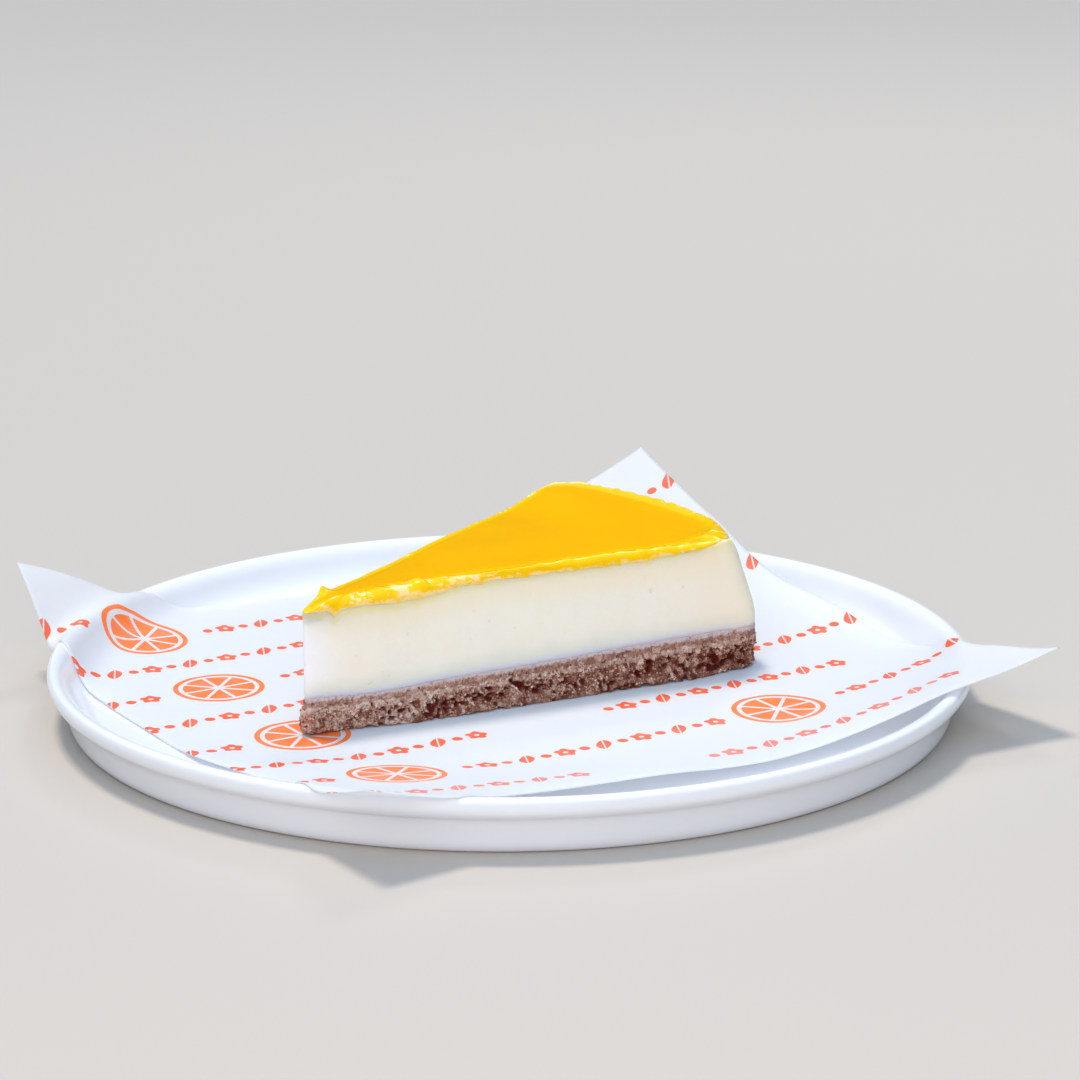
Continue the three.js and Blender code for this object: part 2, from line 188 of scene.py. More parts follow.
camera = added("camera", bpy.data.cameras.new("camera"))
camera.data.sensor_width = 36.0
camera.data.lens = CAMERA_LENS
camera.data.clip_start = 0.05
camera.data.clip_end = 60.0
camera.matrix_world = (
    Matrix.Translation(PLATE_AXIS + CAMERA_PLACE)
    @ Matrix.Rotation(math.pi / 2 - CAMERA_TILT, 4, "X")
    @ Matrix.Rotation(-CAMERA_ROLL, 4, "Z")
)
bpy.context.scene.camera = camera


def lamp(name, kind, place, strength, colour):
    """A lamp that looks at the dish from a place in metres."""
    made = added(name, bpy.data.lights.new(name, kind))
    made.data.energy = strength
    made.data.color = colour
    made.location = place
    made.rotation_euler = (-Vector(place)).to_track_quat("-Z", "Y").to_euler()
    return made


window = lamp("sky_window", "SUN", (-0.25, 0.275, 1.2), 2.04, (1.0, 0.86, 0.73))
window.data.angle = math.radians(13)
back_lamp = lamp("back_lamp", "AREA", (0.3, 1.2, 1.15), 3, (1.0, 0.99, 0.97))
back_lamp.data.size = 0.28
front_lamp = lamp("front_lamp", "AREA", (-0.1, -1.45, 0.6), 11.6, (1.0, 0.86, 0.80))
front_lamp.data.size = 1.2
front_lamp.visible_glossy = False

SKY_STRENGTH = 0.555
SKY_ABOVE = (1.13, 1.62, 2.2, 1)
SKY_LOW_IN_FRONT = (0.60, 0.66, 0.76, 1)
SKY_LOW_BEHIND = (0.06, 0.06, 0.065, 1)
BACKDROP = (1.3, 1.27, 1.22, 1)

world = bpy.data.worlds.new("studio")
bpy.context.scene.world = world
world.use_nodes = True
world.node_tree.nodes.clear()
start = Wire(world.node_tree)
direction = start.node("ShaderNodeTexCoord", {}, {}, "Generated")
low_sky = direction.axis("Y").between(-0.75, 0.1).mixed(SKY_LOW_IN_FRONT, SKY_LOW_BEHIND)
sky = direction.axis("Z").between(0.3, 0.95).mixed(low_sky, SKY_ABOVE)
seen = start.node("ShaderNodeLightPath", {}, {}, "Is Camera Ray")
sockets = {"Color": seen.mixed(sky, BACKDROP), "Strength": SKY_STRENGTH}
light = start.node("ShaderNodeBackground", {}, sockets)
start.node("ShaderNodeOutputWorld", {}, {"Surface": light})
bpy.context.scene.view_settings.view_transform = "Standard"


# Plate. One piece of white porcelain: a flat floor, a short upright wall with a hollow neck outside,
# a rolled rim, and a foot ring round a shallow recess. It is glazed all over but for the foot ring,
# which stands bare in the kiln.

PLATE_RADIUS = 120.0
PLATE_HEIGHT = 14.9
PLATE_FLOOR_TOP = 5.0
PLATE_FLOOR_RADIUS = 107.5
FOOT_RECESS = 1.2
FOOT_INNER_RADIUS = 104.0
FOOT_OUTER_RADIUS = 112.6
PLATE_STEPS = 240


def bend(first, control, last, count):
    """Points of a quadratic curve, without its first point."""
    share = np.linspace(0, 1, count + 1)[1:, None]
    first, control, last = (np.array(p, float) for p in (first, control, last))
    return (1 - share) ** 2 * first + 2 * share * (1 - share) * control + share**2 * last


def piece(name, points, faces, finish_of, node):
    """A closed mesh from points in millimetres round the plate's axis, in place of its CAD node."""
    mesh = bpy.data.meshes.new(name)
    mesh.from_pydata((np.asarray(points, float) * MILLIMETRE + np.array(PLATE_AXIS)).tolist(), [], faces)
    mesh.polygons.foreach_set("use_smooth", [True] * len(mesh.polygons))
    mesh.materials.append(finish_of)
    mesh.update()
    made = added(name, mesh)
    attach(made, "root")
    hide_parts(node)
    return made


def revolved(profile, steps):
    """Points and outward faces of a profile turned round the axis, from its low pole to its high one."""
    rings = [(radius, z) for radius, z in profile if radius > 0]
    angles = np.linspace(0, 2 * math.pi, steps, endpoint=False)
    points = [(0, 0, profile[0][1])]
    for radius, z in rings:
        points += [(radius * math.cos(angle), radius * math.sin(angle), z) for angle in angles]
    points.append((0, 0, profile[-1][1]))
    faces = []
    last = len(points) - 1
    for i in range(steps):
        following = (i + 1) % steps
        faces.append((0, 1 + following, 1 + i))
        for ring in range(len(rings) - 1):
            low = 1 + ring * steps
            faces.append((low + i, low + following, low + steps + following, low + steps + i))
        top = last - steps
        faces.append((top + i, top + following, last))
    return points, faces


def plate_profile():
    """Half section of the plate, from under its middle round the rim to the middle of its floor."""
    points = [(r, FOOT_RECESS) for r in (0.0, 30.0, 60.0, 85.0, FOOT_INNER_RADIUS - 1.5)]

    def curve(control, end, count=9):
        points.extend(tuple(p) for p in bend(points[-1], control, end, count))

    curve((FOOT_INNER_RADIUS, FOOT_RECESS), (FOOT_INNER_RADIUS + 0.8, 0), 6)
    points.extend([(FOOT_INNER_RADIUS + 1.1, 0), (FOOT_OUTER_RADIUS - 0.3, 0), (FOOT_OUTER_RADIUS, 0)])
    curve((FOOT_OUTER_RADIUS + 1.6, 0), (FOOT_OUTER_RADIUS + 2.4, 2.4))
    curve((FOOT_OUTER_RADIUS + 3.3, 7.4), (FOOT_OUTER_RADIUS + 4.7, 9.1))
    curve((PLATE_RADIUS, 10.6), (PLATE_RADIUS, 12.8))
    curve((PLATE_RADIUS, PLATE_HEIGHT), (PLATE_RADIUS - 1.7, PLATE_HEIGHT))
    curve((PLATE_RADIUS - 3.9, PLATE_HEIGHT), (PLATE_RADIUS - 5.6, 11.4))
    curve((PLATE_RADIUS - 8.2, PLATE_FLOOR_TOP + 0.2), (PLATE_FLOOR_RADIUS, PLATE_FLOOR_TOP))
    points.extend([(r, PLATE_FLOOR_TOP) for r in (100.0, 80.0, 55.0, 28.0, 0.0)])
    return points


porcelain, start = finish("white_porcelain")
place, (_, _, z) = millimetres(start)
glazed = z.between(0.05, 0.35)
pooling = cloud(start, place, 38)
tint = pooling.mixed(linear(233, 239, 246), linear(240, 245, 251))
pinholes = 1 - cloud(start, place, 1.7, 1.0).between(0.16, 0.24)
surfaced(
    start,
    Base__Color=glazed.mixed(linear(222, 212, 196), tint),
    Roughness=0.62 - 0.5 * glazed + 0.08 * cloud(start, place, 16, 3.0),
    Normal=bumped(start, cloud(start, place, 9, 2.0) + 0.15 * pinholes, 0.05),
    IOR=1.52,
)
points, faces = revolved(plate_profile(), PLATE_STEPS)
piece("porcelain_plate", points, faces, porcelain, "plate")


# Liner. A square of white greaseproof paper, cut from a stack and pressed into the plate so that its
# four corners curl up over the rim. It is printed on its upper side with rows of small orange marks
# between citrus wheels.

PAPER_TURN = math.radians(32.0)
PAPER_LEFT = -97.8
PAPER_RIGHT = 105.1
PAPER_FRONT = -95.2
PAPER_BACK = 103.0
PAPER_THICKNESS = 0.3
PAPER_FLOOR_TOP = 5.6
PAPER_CELLS = 170
PLATE_CLEARANCE = 0.15
DRAPE_ROUNDS = 16
RIM_DISTANCE = 116.0
# Each corner: its direction, the swing of its fold, where it starts to rise, its rise over the rim,
# the power it grows with, the slope and bend beyond, and how far the curl draws it in
CORNERS = (
    dict(u=-1, v=1, turn=-13, start=70.5, rise=3.4, power=2.7, slope=1.46, curl=-0.41, in_u=2.6, in_v=3),
    dict(u=-1, v=-1, turn=6, start=63.7, rise=8.3, power=1.1, slope=0.35, curl=0.07, in_u=1.8, in_v=0.2),
    dict(u=1, v=-1, turn=-9, start=74.1, rise=10.5, power=1.7, slope=0.13, curl=0.12, in_u=0.7, in_v=-0.5),
    dict(u=1, v=1, turn=-10, start=72.2, rise=16.8, power=2.3, slope=0.52, curl=0.11, in_u=1.2, in_v=9.3),
)
# Long shallow waves along two edges, and how far the rim draws the right one in: each a height,
# a middle and a half length, from a share of the way to the edge on
RIGHT_EDGE_WAVE = (3.9, -1.3, 21.4)
FRONT_EDGE_WAVE = (2.1, -7.1, 33.4)
RIGHT_EDGE_PULL = (2.6, -57.0, 18.0)
EDGE_WAVE_START = 0.55
# Small waves of the loose border
LOOSE_START = 0.7
RIPPLE_HEIGHT = 0.25
RIPPLE_LENGTH = 15.0
SWELL_HEIGHT = 0.5
SWELL_LENGTH = 37.0
CURL_LENGTH = 20.0
OFF_THE_PLATE = -100.0


def lattice(i, j, k):
    """A repeatable random number, -1 to 1, at each whole-number place."""
    mixed = (i * 374761393 + j * 668265263 + k * 2147483647) & 0xFFFFFFFF
    mixed = ((mixed ^ (mixed >> 13)) * 1274126177) & 0xFFFFFFFF
    return ((mixed ^ (mixed >> 16)) & 0xFFFFFFFF) / 2147483647.5 - 1


def noise(x, y, z):
    """Smooth value noise, -1 to 1, on a lattice with a spacing of one unit."""
    x, y, z = np.broadcast_arrays(x, y, z)
    i, j, k = (np.floor(axis).astype(np.int64) for axis in (x, y, z))
    ease = [(axis - whole) ** 2 * (3 - 2 * (axis - whole)) for axis, whole in ((x, i), (y, j), (z, k))]
    total = 0
    for dk in (0, 1):
        for dj in (0, 1):
            for di in (0, 1):
                weight = 1
                for step, share in zip((di, dj, dk), ease):
                    weight = weight * (share if step else 1 - share)
                total = total + weight * lattice(i + di, j + dj, k + dk)
    return total


def plate_top(radius):
    """Height of the plate's upper face at a distance from its axis, and nothing past the rim."""
    section = np.array(plate_profile())
    upper = section[np.argmax(section[:, 0]) :][::-1]
    return np.where(radius > PLATE_RADIUS, OFF_THE_PLATE, np.interp(radius, upper[:, 0], upper[:, 1]))


def eased(z):
    """Each height drawn towards its neighbours'; the sheet's edges keep their slope."""
    padded = np.pad(z, 1)
    padded[0], padded[-1] = 2 * padded[1] - padded[2], 2 * padded[-2] - padded[-3]
    padded[:, 0], padded[:, -1] = 2 * padded[:, 1] - padded[:, 2], 2 * padded[:, -2] - padded[:, -3]
    rows = 0.25 * padded[:-2] + 0.5 * padded[1:-1] + 0.25 * padded[2:]
    return 0.25 * rows[:, :-2] + 0.5 * rows[:, 1:-1] + 0.25 * rows[:, 2:]


def corner_rise(corner, u, v):
    """How much a folded corner lifts the sheet at u, v."""
    across = math.radians(corner["turn"]) + math.atan2(corner["v"], corner["u"])
    out = u * math.cos(across) + v * math.sin(across)
    inner = np.clip((out - corner["start"]) / (RIM_DISTANCE - corner["start"]), 0, 1)
    beyond = np.maximum(out - RIM_DISTANCE, 0)
    risen = corner["rise"] * inner ** corner["power"] + corner["slope"] * beyond
    return risen + corner["curl"] * beyond**2 / CURL_LENGTH


def edge_wave(wave, along, outward):
    """A rounded hill along one edge of the sheet, which fades towards the middle."""
    height, middle, reach = wave
    near = np.clip((outward - EDGE_WAVE_START) / (1 - EDGE_WAVE_START), 0, 1)
    return height * np.exp(-(((along - middle) / reach) ** 2)) * near**2


def paper_surface(a, b):
    """Top of the sheet for a grid of a, b from -1 to 1 across it, draped over the plate."""
    u = (PAPER_LEFT + PAPER_RIGHT) / 2 + a * (PAPER_RIGHT - PAPER_LEFT) / 2
    v = (PAPER_FRONT + PAPER_BACK) / 2 + b * (PAPER_BACK - PAPER_FRONT) / 2
    for corner in CORNERS:
        weight = np.maximum(a * corner["u"], 0) ** 2 * np.maximum(b * corner["v"], 0) ** 2
        u = u - corner["u"] * corner["in_u"] * weight
        v = v - corner["v"] * corner["in_v"] * weight
    u = u - edge_wave(RIGHT_EDGE_PULL, v, a)
    z = PAPER_FLOOR_TOP + edge_wave(RIGHT_EDGE_WAVE, v, a) + edge_wave(FRONT_EDGE_WAVE, u, -b)
    for corner in CORNERS:
        z = z + corner_rise(corner, u, v)
    x = u * math.cos(PAPER_TURN) - v * math.sin(PAPER_TURN)
    y = u * math.sin(PAPER_TURN) + v * math.cos(PAPER_TURN)
    lowest = plate_top(np.hypot(x, y)) + PAPER_THICKNESS + PLATE_CLEARANCE
    z = np.maximum(z, lowest)
    for _ in range(DRAPE_ROUNDS):
        z = np.maximum(eased(z), lowest)
    loose = np.clip((np.maximum(np.abs(a), np.abs(b)) - LOOSE_START) / (1 - LOOSE_START), 0, 1)
    ripples = RIPPLE_HEIGHT * noise(u / RIPPLE_LENGTH, v / RIPPLE_LENGTH, 3.0)
    swells = SWELL_HEIGHT * np.maximum(noise(u / SWELL_LENGTH, v / SWELL_LENGTH, 8.0), 0)
    return x, y, z + loose * (ripples + swells)


def paper_sheet():
    """Points, faces and sheet coordinates of the paper, both of its sides and its cut edges."""
    side = PAPER_CELLS + 1
    a, b = np.meshgrid(np.linspace(-1, 1, side), np.linspace(-1, 1, side))
    x, y, z = paper_surface(a, b)
    upper = np.stack([x.ravel(), y.ravel(), z.ravel()], 1)
    points = np.concatenate([upper, upper - (0, 0, PAPER_THICKNESS)])
    under = len(upper)
    faces = []
    for j in range(PAPER_CELLS):
        for i in range(PAPER_CELLS):
            at = j * side + i
            faces.append((at, at + 1, at + 1 + side, at + side))
            faces.append((under + at, under + at + side, under + at + 1 + side, under + at + 1))
    last = side * side - 1
    border = [*range(side - 1), *range(side - 1, last, side), *range(last, last - side + 1, -1)]
    border += [*range(last - side + 1, 0, -side)]
    for at, following in zip(border, border[1:] + border[:1]):
        faces.append((at, under + at, under + following, following))
    flat = np.stack([(a.ravel() + 1) / 2, (b.ravel() + 1) / 2], 1)
    return points, faces, np.concatenate([flat, flat])


# The print: rows across the sheet, each with strips of leaves, dots and blossoms by turns, and on
# every other row a wheel between two strips
PRINT_START = 3.0
PRINT_ROW = 23.5
PRINT_PITCH = 112.0
PRINT_SHIFT = 25.0
INK_BLUR = 0.1
MARK_PITCH = 5.6
MARK_HALF = 3.4
MARKS_IN_TURN = 4.0
LEAF_TURN = 0.0
BLOSSOM_TURN = 2.0
STRIP_HALF = 7 * MARK_PITCH
LEAF_HALF_WIDTH = 2.2
LEAF_LEAN = 0.45
LEAF_VEIN = 0.18
BLOSSOM_PETALS = 5
BLOSSOM_RADIUS = 2.55
PETAL_DEPTH = 0.4
BLOSSOM_EYE = 0.65
DOT_RADIUS = 1.35
WHEEL_RADIUS = 12.0
WHEEL_SEGMENTS = 8
PEEL_WIDTH = 1.4
PITH_WIDTH = 1.2
WHEEL_HEART = 1.4
MEMBRANE_HALF = 0.45


def past(value, edge):
    """0 up to an edge and 1 past it, with the thin blur of ink on paper."""
    return value.between(edge, edge + INK_BLUR)


def citrus_wheel(x, y):
    """Ink of a citrus wheel round the point 0, 0: a ring of peel, and segments inside it."""
    squared = x * x + y * y
    away = squared.maths("SQRT", squared)
    peel = past(away, WHEEL_RADIUS - PEEL_WIDTH) * (1 - past(away, WHEEL_RADIUS))
    angle = away.maths("ARCTAN2", y, x) * (WHEEL_SEGMENTS / (2 * math.pi))
    off_middle = abs(away.maths("FRACT", angle) - 0.5) * away * (2 * math.pi / WHEEL_SEGMENTS)
    segment = past(away * (math.pi / WHEEL_SEGMENTS) - off_middle, MEMBRANE_HALF)
    flesh = past(away, WHEEL_HEART) * (1 - past(away, WHEEL_RADIUS - PEEL_WIDTH - PITH_WIDTH))
    return away.maths("MAXIMUM", peel, segment * flesh)


paper_finish, start = finish("printed_greaseproof")
place, (x, y, _) = millimetres(start)
sheet = start.node("ShaderNodeUVMap", {"uv_map": "sheet"}, {})
across = sheet.axis("X") * (PAPER_RIGHT - PAPER_LEFT)
along = sheet.axis("Y") * (PAPER_BACK - PAPER_FRONT) - PRINT_START
row = along.maths("FLOOR", along / PRINT_ROW)
row_y = along - (row + 0.5) * PRINT_ROW
every_other = row.maths("MODULO", row, 2.0)
shifted = across + every_other * (PRINT_PITCH / 2) + PRINT_SHIFT
strip_x = shifted - (shifted.maths("FLOOR", shifted / PRINT_PITCH) + 0.5) * PRINT_PITCH
mark = strip_x.maths("FLOOR", strip_x / MARK_PITCH)
mark_x = strip_x - (mark + 0.5) * MARK_PITCH
level = row_y / MARK_HALF
leaf_side = abs(mark_x - LEAF_LEAN * row_y)
leaf = 1 - past(leaf_side - LEAF_HALF_WIDTH * (1 - level * level), -INK_BLUR / 2)
leaf = leaf * past(leaf_side, LEAF_VEIN)
from_mark = row_y.maths("SQRT", mark_x * mark_x + row_y * row_y)
petals = level.maths("COSINE", level.maths("ARCTAN2", row_y, mark_x) * BLOSSOM_PETALS)
blossom = (1 - past(from_mark - PETAL_DEPTH * petals, BLOSSOM_RADIUS)) * past(from_mark, BLOSSOM_EYE)
dot = 1 - past(from_mark, DOT_RADIUS)
kind = mark.maths("WRAP", mark, MARKS_IN_TURN, 0.0)
is_blossom = kind.maths("COMPARE", kind, BLOSSOM_TURN, 0.2)
is_leaf = kind.maths("COMPARE", kind, LEAF_TURN, 0.2)
marks = leaf * is_leaf + blossom * is_blossom + dot * (1 - is_leaf) * (1 - is_blossom)
strip = marks * (1 - past(abs(strip_x), STRIP_HALF))
wheel = citrus_wheel(PRINT_PITCH / 2 - abs(strip_x), row_y) * every_other
upper_side = start.node("ShaderNodeNewGeometry", {}, {}, "Normal")
facing_up = upper_side.axis("Z").between(-0.05, 0.05)
rubbed = (0.55 * x - y).between(55, 125)
fading = 0.85 + 0.2 * cloud(start, place, 6, 3.0) - 0.25 * rubbed
ink = strip.maths("MAXIMUM", strip, wheel) * fading * (0.12 + 0.88 * facing_up)
fibres = cloud(start, place, 2.6, 4.0, 0.65)
sheet_tint = fibres.mixed(linear(238, 242, 248), linear(245, 248, 252))
surfaced(
    start,
    sheer=0.45 - 0.4 * ink,
    Base__Color=ink.mixed(sheet_tint, wheel.mixed(linear(235, 85, 16), linear(250, 115, 4))),
    Roughness=0.5 + 0.2 * fibres,
    Normal=bumped(start, fibres * 0.4 + cloud(start, place, 24, 2.0), 0.18),
    Specular__IOR__Level=0.35,
)
points, faces, flat = paper_sheet()
liner = piece("greaseproof_liner", points, faces, paper_finish, "paper_liner")
corners = np.zeros(len(liner.data.loops), np.int32)
liner.data.loops.foreach_get("vertex_index", corners)
liner.data.uv_layers.new(name="sheet").data.foreach_set("uv", flat[corners].ravel())


# Crumb base. Cocoa biscuit crumbs and butter, pressed into the ring and cut with the cake. The knife
# drags crumbs out of the lower part, which stands open, while the top is damp and close under the
# filling. The deep holes are darkened with painted shade, and the lower part is coloured darker
# towards the bottom.

TIP_ON_PLATE = np.array([-52.1, -45.8])
SLICE_TURN = math.radians(26.4)
FRONT_CUT = 130.5
BACK_CORNER = (113.6, 80.8)
TIP_BACK = (11.4, 10.6)
CAKE_RADIUS = 133.0
TIP_LEG = 5.0
FRONT_CORNER_LEG = 6.0
BACK_CORNER_LEG = 11.0
TIP_BACK_LEG = 7.0
SPINE = np.array([[18.0, 6.8], [95.0, 30.7]])
SLICE_BOTTOM = 5.75
BASE_TOP = 16.2
# The wall that stood against the ring: how far it stands out at its foot, belly and top, and how
# the front corner draws in under its top
CAKE_CENTRE = np.array([-4.0, 0.0])
WALL_FOOT_OUT = 1.3
WALL_BELLY_OUT = 2.5
WALL_BELLY_HEIGHT = 20.5
BELLY_SOFTNESS = 0.14
WALL_TOP_OUT = -0.3
WALL_TOP_HEIGHT = 39.2
FRONT_CORNER_PULL = 4.2
FRONT_CORNER_REACH = 14.0
LEAN_START = 90.0
LEAN_FULL = 125.0


def step_up(value, low, high):
    """0 below low and 1 above high, with a soft step from one to the other."""
    share = np.clip((value - low) / (high - low), 0, 1)
    return share * share * (3 - 2 * share)


def ridge(s, middle, reach):
    """A rounded hill, 1 high at its middle."""
    return np.exp(-(((s - middle) / reach) ** 2))


def hills(s, table):
    """Sum of rounded hills along s, each a height, a middle and a reach."""
    return sum(height * ridge(s, middle, reach) for height, middle, reach in table)


def slice_outline(spacing):
    """Evenly spaced plan points of the slice, anticlockwise from the tip, and its length."""
    corners = ((0, 0), (FRONT_CUT, 0), BACK_CORNER, TIP_BACK)
    tip, front, back, tip_back = (np.array(corner, float) for corner in corners)
    chord = back - front
    half = np.linalg.norm(chord) / 2
    inward = np.array([-chord[1], chord[0]]) / (2 * half)
    centre = (front + back) / 2 + inward * math.sqrt(CAKE_RADIUS**2 - half**2)
    start_angle = math.atan2(*(front - centre)[::-1]) + FRONT_CORNER_LEG / CAKE_RADIUS
    end_angle = math.atan2(*(back - centre)[::-1]) - BACK_CORNER_LEG / CAKE_RADIUS
    angles = np.linspace(start_angle, end_angle, 160)
    arc = centre + CAKE_RADIUS * np.stack([np.cos(angles), np.sin(angles)], 1)

    def toward(a, b, leg):
        return a + (b - a) * leg / np.linalg.norm(b - a)

    path = [
        np.array([[TIP_LEG, 0], [FRONT_CUT - FRONT_CORNER_LEG, 0]], float),
        bend((FRONT_CUT - FRONT_CORNER_LEG, 0), front, arc[0], 16),
        arc[1:],
        bend(arc[-1], back, toward(back, tip_back, BACK_CORNER_LEG), 24),
        toward(tip_back, back, TIP_BACK_LEG)[None],
        bend(toward(tip_back, back, TIP_BACK_LEG), tip_back, toward(tip_back, tip, TIP_BACK_LEG), 16),
        toward(tip, tip_back, TIP_LEG)[None],
        bend(toward(tip, tip_back, TIP_LEG), tip, (TIP_LEG, 0), 16),
    ]
    path = np.concatenate(path)
    gone = np.concatenate([[0], np.cumsum(np.linalg.norm(np.diff(path, axis=0), axis=1))])
    count = round(gone[-1] / spacing)
    at = np.linspace(0, gone[-1], count, endpoint=False)
    return np.stack([np.interp(at, gone, path[:, axis]) for axis in (0, 1)], 1), gone[-1]


def inward_of(outline):
    """Unit directions into the slice, square to its outline."""
    along = np.roll(outline, -3, axis=0) - np.roll(outline, 3, axis=0)
    along /= np.linalg.norm(along, axis=1)[:, None]
    return np.stack([-along[:, 1], along[:, 0]], 1)


def on_plate(points):
    """Slice plan points, with the lean of the ring's wall, as points round the plate's axis."""
    s, w, z = np.asarray(points, float).T
    above = (z - WALL_BELLY_HEIGHT) / (WALL_TOP_HEIGHT - WALL_BELLY_HEIGHT)
    above = (above + np.hypot(above, BELLY_SOFTNESS)) / 2
    below = np.clip((WALL_BELLY_HEIGHT - z) / (WALL_BELLY_HEIGHT - SLICE_BOTTOM), 0, 1)
    pull = FRONT_CORNER_PULL * ridge(w, 0, FRONT_CORNER_REACH)
    out = WALL_BELLY_OUT + (WALL_TOP_OUT - WALL_BELLY_OUT - pull) * above
    out = out + (WALL_FOOT_OUT - WALL_BELLY_OUT) * below
    away = np.hypot(s - CAKE_CENTRE[0], w - CAKE_CENTRE[1])
    stretch = 1 + out * step_up(away, LEAN_START, LEAN_FULL) / away
    s = CAKE_CENTRE[0] + (s - CAKE_CENTRE[0]) * stretch
    w = CAKE_CENTRE[1] + (w - CAKE_CENTRE[1]) * stretch
    x = TIP_ON_PLATE[0] + s * math.cos(SLICE_TURN) - w * math.sin(SLICE_TURN)
    y = TIP_ON_PLATE[1] + s * math.sin(SLICE_TURN) + w * math.cos(SLICE_TURN)
    return np.stack([x, y, z], 1)


def base_lift(outline):
    """How far the base's top lies above BASE_TOP: the cake was thinner there near its middle."""
    s, w = outline.T
    along = 1.8 * step_up(s, 40, 125) - 1.0 - ridge(s, 22, 13)
    return along * (1 - step_up(w, 3, 20))


def outer_share(outline):
    """0 on the two cuts and the tip, 1 on the wall that stood against the ring."""
    return step_up(np.linalg.norm(outline - np.array(TIP_BACK), axis=1), 114.5, 122.5)


def stacked(rings):
    """Points and outward faces of equal closed rings, bottom first, closed by a face at each end."""
    count = len(rings[0])
    faces = [tuple(range(count - 1, -1, -1))]
    for level in range(len(rings) - 1):
        low = level * count
        for i in range(count):
            following = (i + 1) % count
            faces.append((low + i, low + following, low + count + following, low + count + i))
    top = (len(rings) - 1) * count
    faces.append(tuple(range(top, top + count)))
    return np.concatenate(rings), faces


def keep(made, name, values):
    """Stores one number a point on a piece, for its material."""
    numbers = np.ravel(values).astype(np.float32)
    made.data.attributes.new(name, "FLOAT", "POINT").data.foreach_set("value", numbers)


def stored(start, name):
    """The numbers that keep() stored under a name."""
    return start.node("ShaderNodeAttribute", {"attribute_name": name}, {}, "Fac")


CRUMB_SPACING = 0.27
CRUMB_LEVELS = 44
CRUMB_COUNT = 15000
CRUMB_SMALLEST = 0.3
CRUMB_LARGEST = 1.7
CRUMB_FINENESS = 3.2
CRUMB_SUNK = -0.9
CRUMB_PROUD = 0.45
CRUMB_FLATTENING = (0.75, 1.3)
CRUMB_SHADE = (0.45, 0.22)
CRUMB_SEED = 7
# Near the filling the crumbs are this much smaller, and sunk this much less
CLOSER_ON_TOP = 0.6
BARE_DEPTH = -1.0
BARE_TONE = 0.1
WALL_DEEPEST = -2.6
WALL_PROUDEST = 0.6
HOLE_CLUSTERS = 104
HOLES_IN_CLUSTER = 7
HOLE_BAND = (7.2, 11.4)
HOLE_HALF_LENGTH = (0.4, 1.35)
HOLE_HALF_HEIGHT = (0.4, 1.05)
HOLE_DEPTH = (0.7, 1.9)
TIP_CRUMBS_OUT = 1.3
FOOT_SPREAD = 3.0
FOOT_RISE = 7.0


def press_crumbs(draw, length, step, z, height, tone):
    """Presses round crumbs into the wall's height and tone maps, the proudest of them on top."""
    rise = z[1] - z[0]
    count = height.shape[1]
    for _ in range(CRUMB_COUNT):
        at_s = draw.uniform(0, length)
        at_z = draw.uniform(SLICE_BOTTOM - 0.6, BASE_TOP + 0.4)
        up = np.clip((at_z - SLICE_BOTTOM) / (BASE_TOP - SLICE_BOTTOM), 0, 1)
        larger = (CRUMB_LARGEST - CRUMB_SMALLEST) * draw.uniform() ** CRUMB_FINENESS
        radius = CRUMB_SMALLEST + larger * (1 - CLOSER_ON_TOP * up)
        stand = draw.uniform(CRUMB_SUNK + CLOSER_ON_TOP * up, CRUMB_PROUD)
        flat_s, flat_z = draw.uniform(*CRUMB_FLATTENING, 2)
        shade = np.clip(draw.normal(*CRUMB_SHADE), 0, 1)
        reach_i = int(radius * flat_s / step) + 1
        reach_k = int(radius * flat_z / rise) + 1
        i0 = round(at_s / step)
        k0 = round((at_z - SLICE_BOTTOM) / rise)
        low_k, high_k = max(k0 - reach_k, 0), min(k0 + reach_k + 1, CRUMB_LEVELS)
        if high_k <= low_k:
            continue
        columns = np.arange(i0 - reach_i, i0 + reach_i + 1)
        away_s = (columns * step - at_s) / (radius * flat_s)
        away_z = (z[low_k:high_k] - at_z) / (radius * flat_z)
        inside = 1 - away_z[:, None] ** 2 - away_s[None, :] ** 2
        ball = np.where(inside > 0, stand - radius + radius * np.sqrt(np.maximum(inside, 0)), -9)
        window = np.ix_(np.arange(low_k, high_k), columns % count)
        higher = ball > height[window]
        height[window] = np.where(higher, ball, height[window])
        tone[window] = np.where(higher, shade, tone[window])


def tear_holes(draw, length, grid_s, grid_z, height):
    """Takes clusters of holes out of the height map, where the knife dragged crumbs out."""
    ragged = 0.4 * noise(grid_s / 0.9, grid_z / 0.9, 14.0)
    for _ in range(HOLE_CLUSTERS):
        cluster_s, cluster_z = draw.uniform(0, length), draw.uniform(*HOLE_BAND)
        for _ in range(draw.integers(2, HOLES_IN_CLUSTER)):
            at_s, at_z = cluster_s + draw.normal(0, 2.2), cluster_z + draw.normal(0, 1.1)
            half_s, half_z = draw.uniform(*HOLE_HALF_LENGTH), draw.uniform(*HOLE_HALF_HEIGHT)
            around = np.minimum(abs(grid_s - at_s % length), length - abs(grid_s - at_s % length))
            away = np.hypot(around / half_s, (grid_z - at_z) / half_z) + ragged
            height -= draw.uniform(*HOLE_DEPTH) * (1 - step_up(away, 0.6, 1.0))


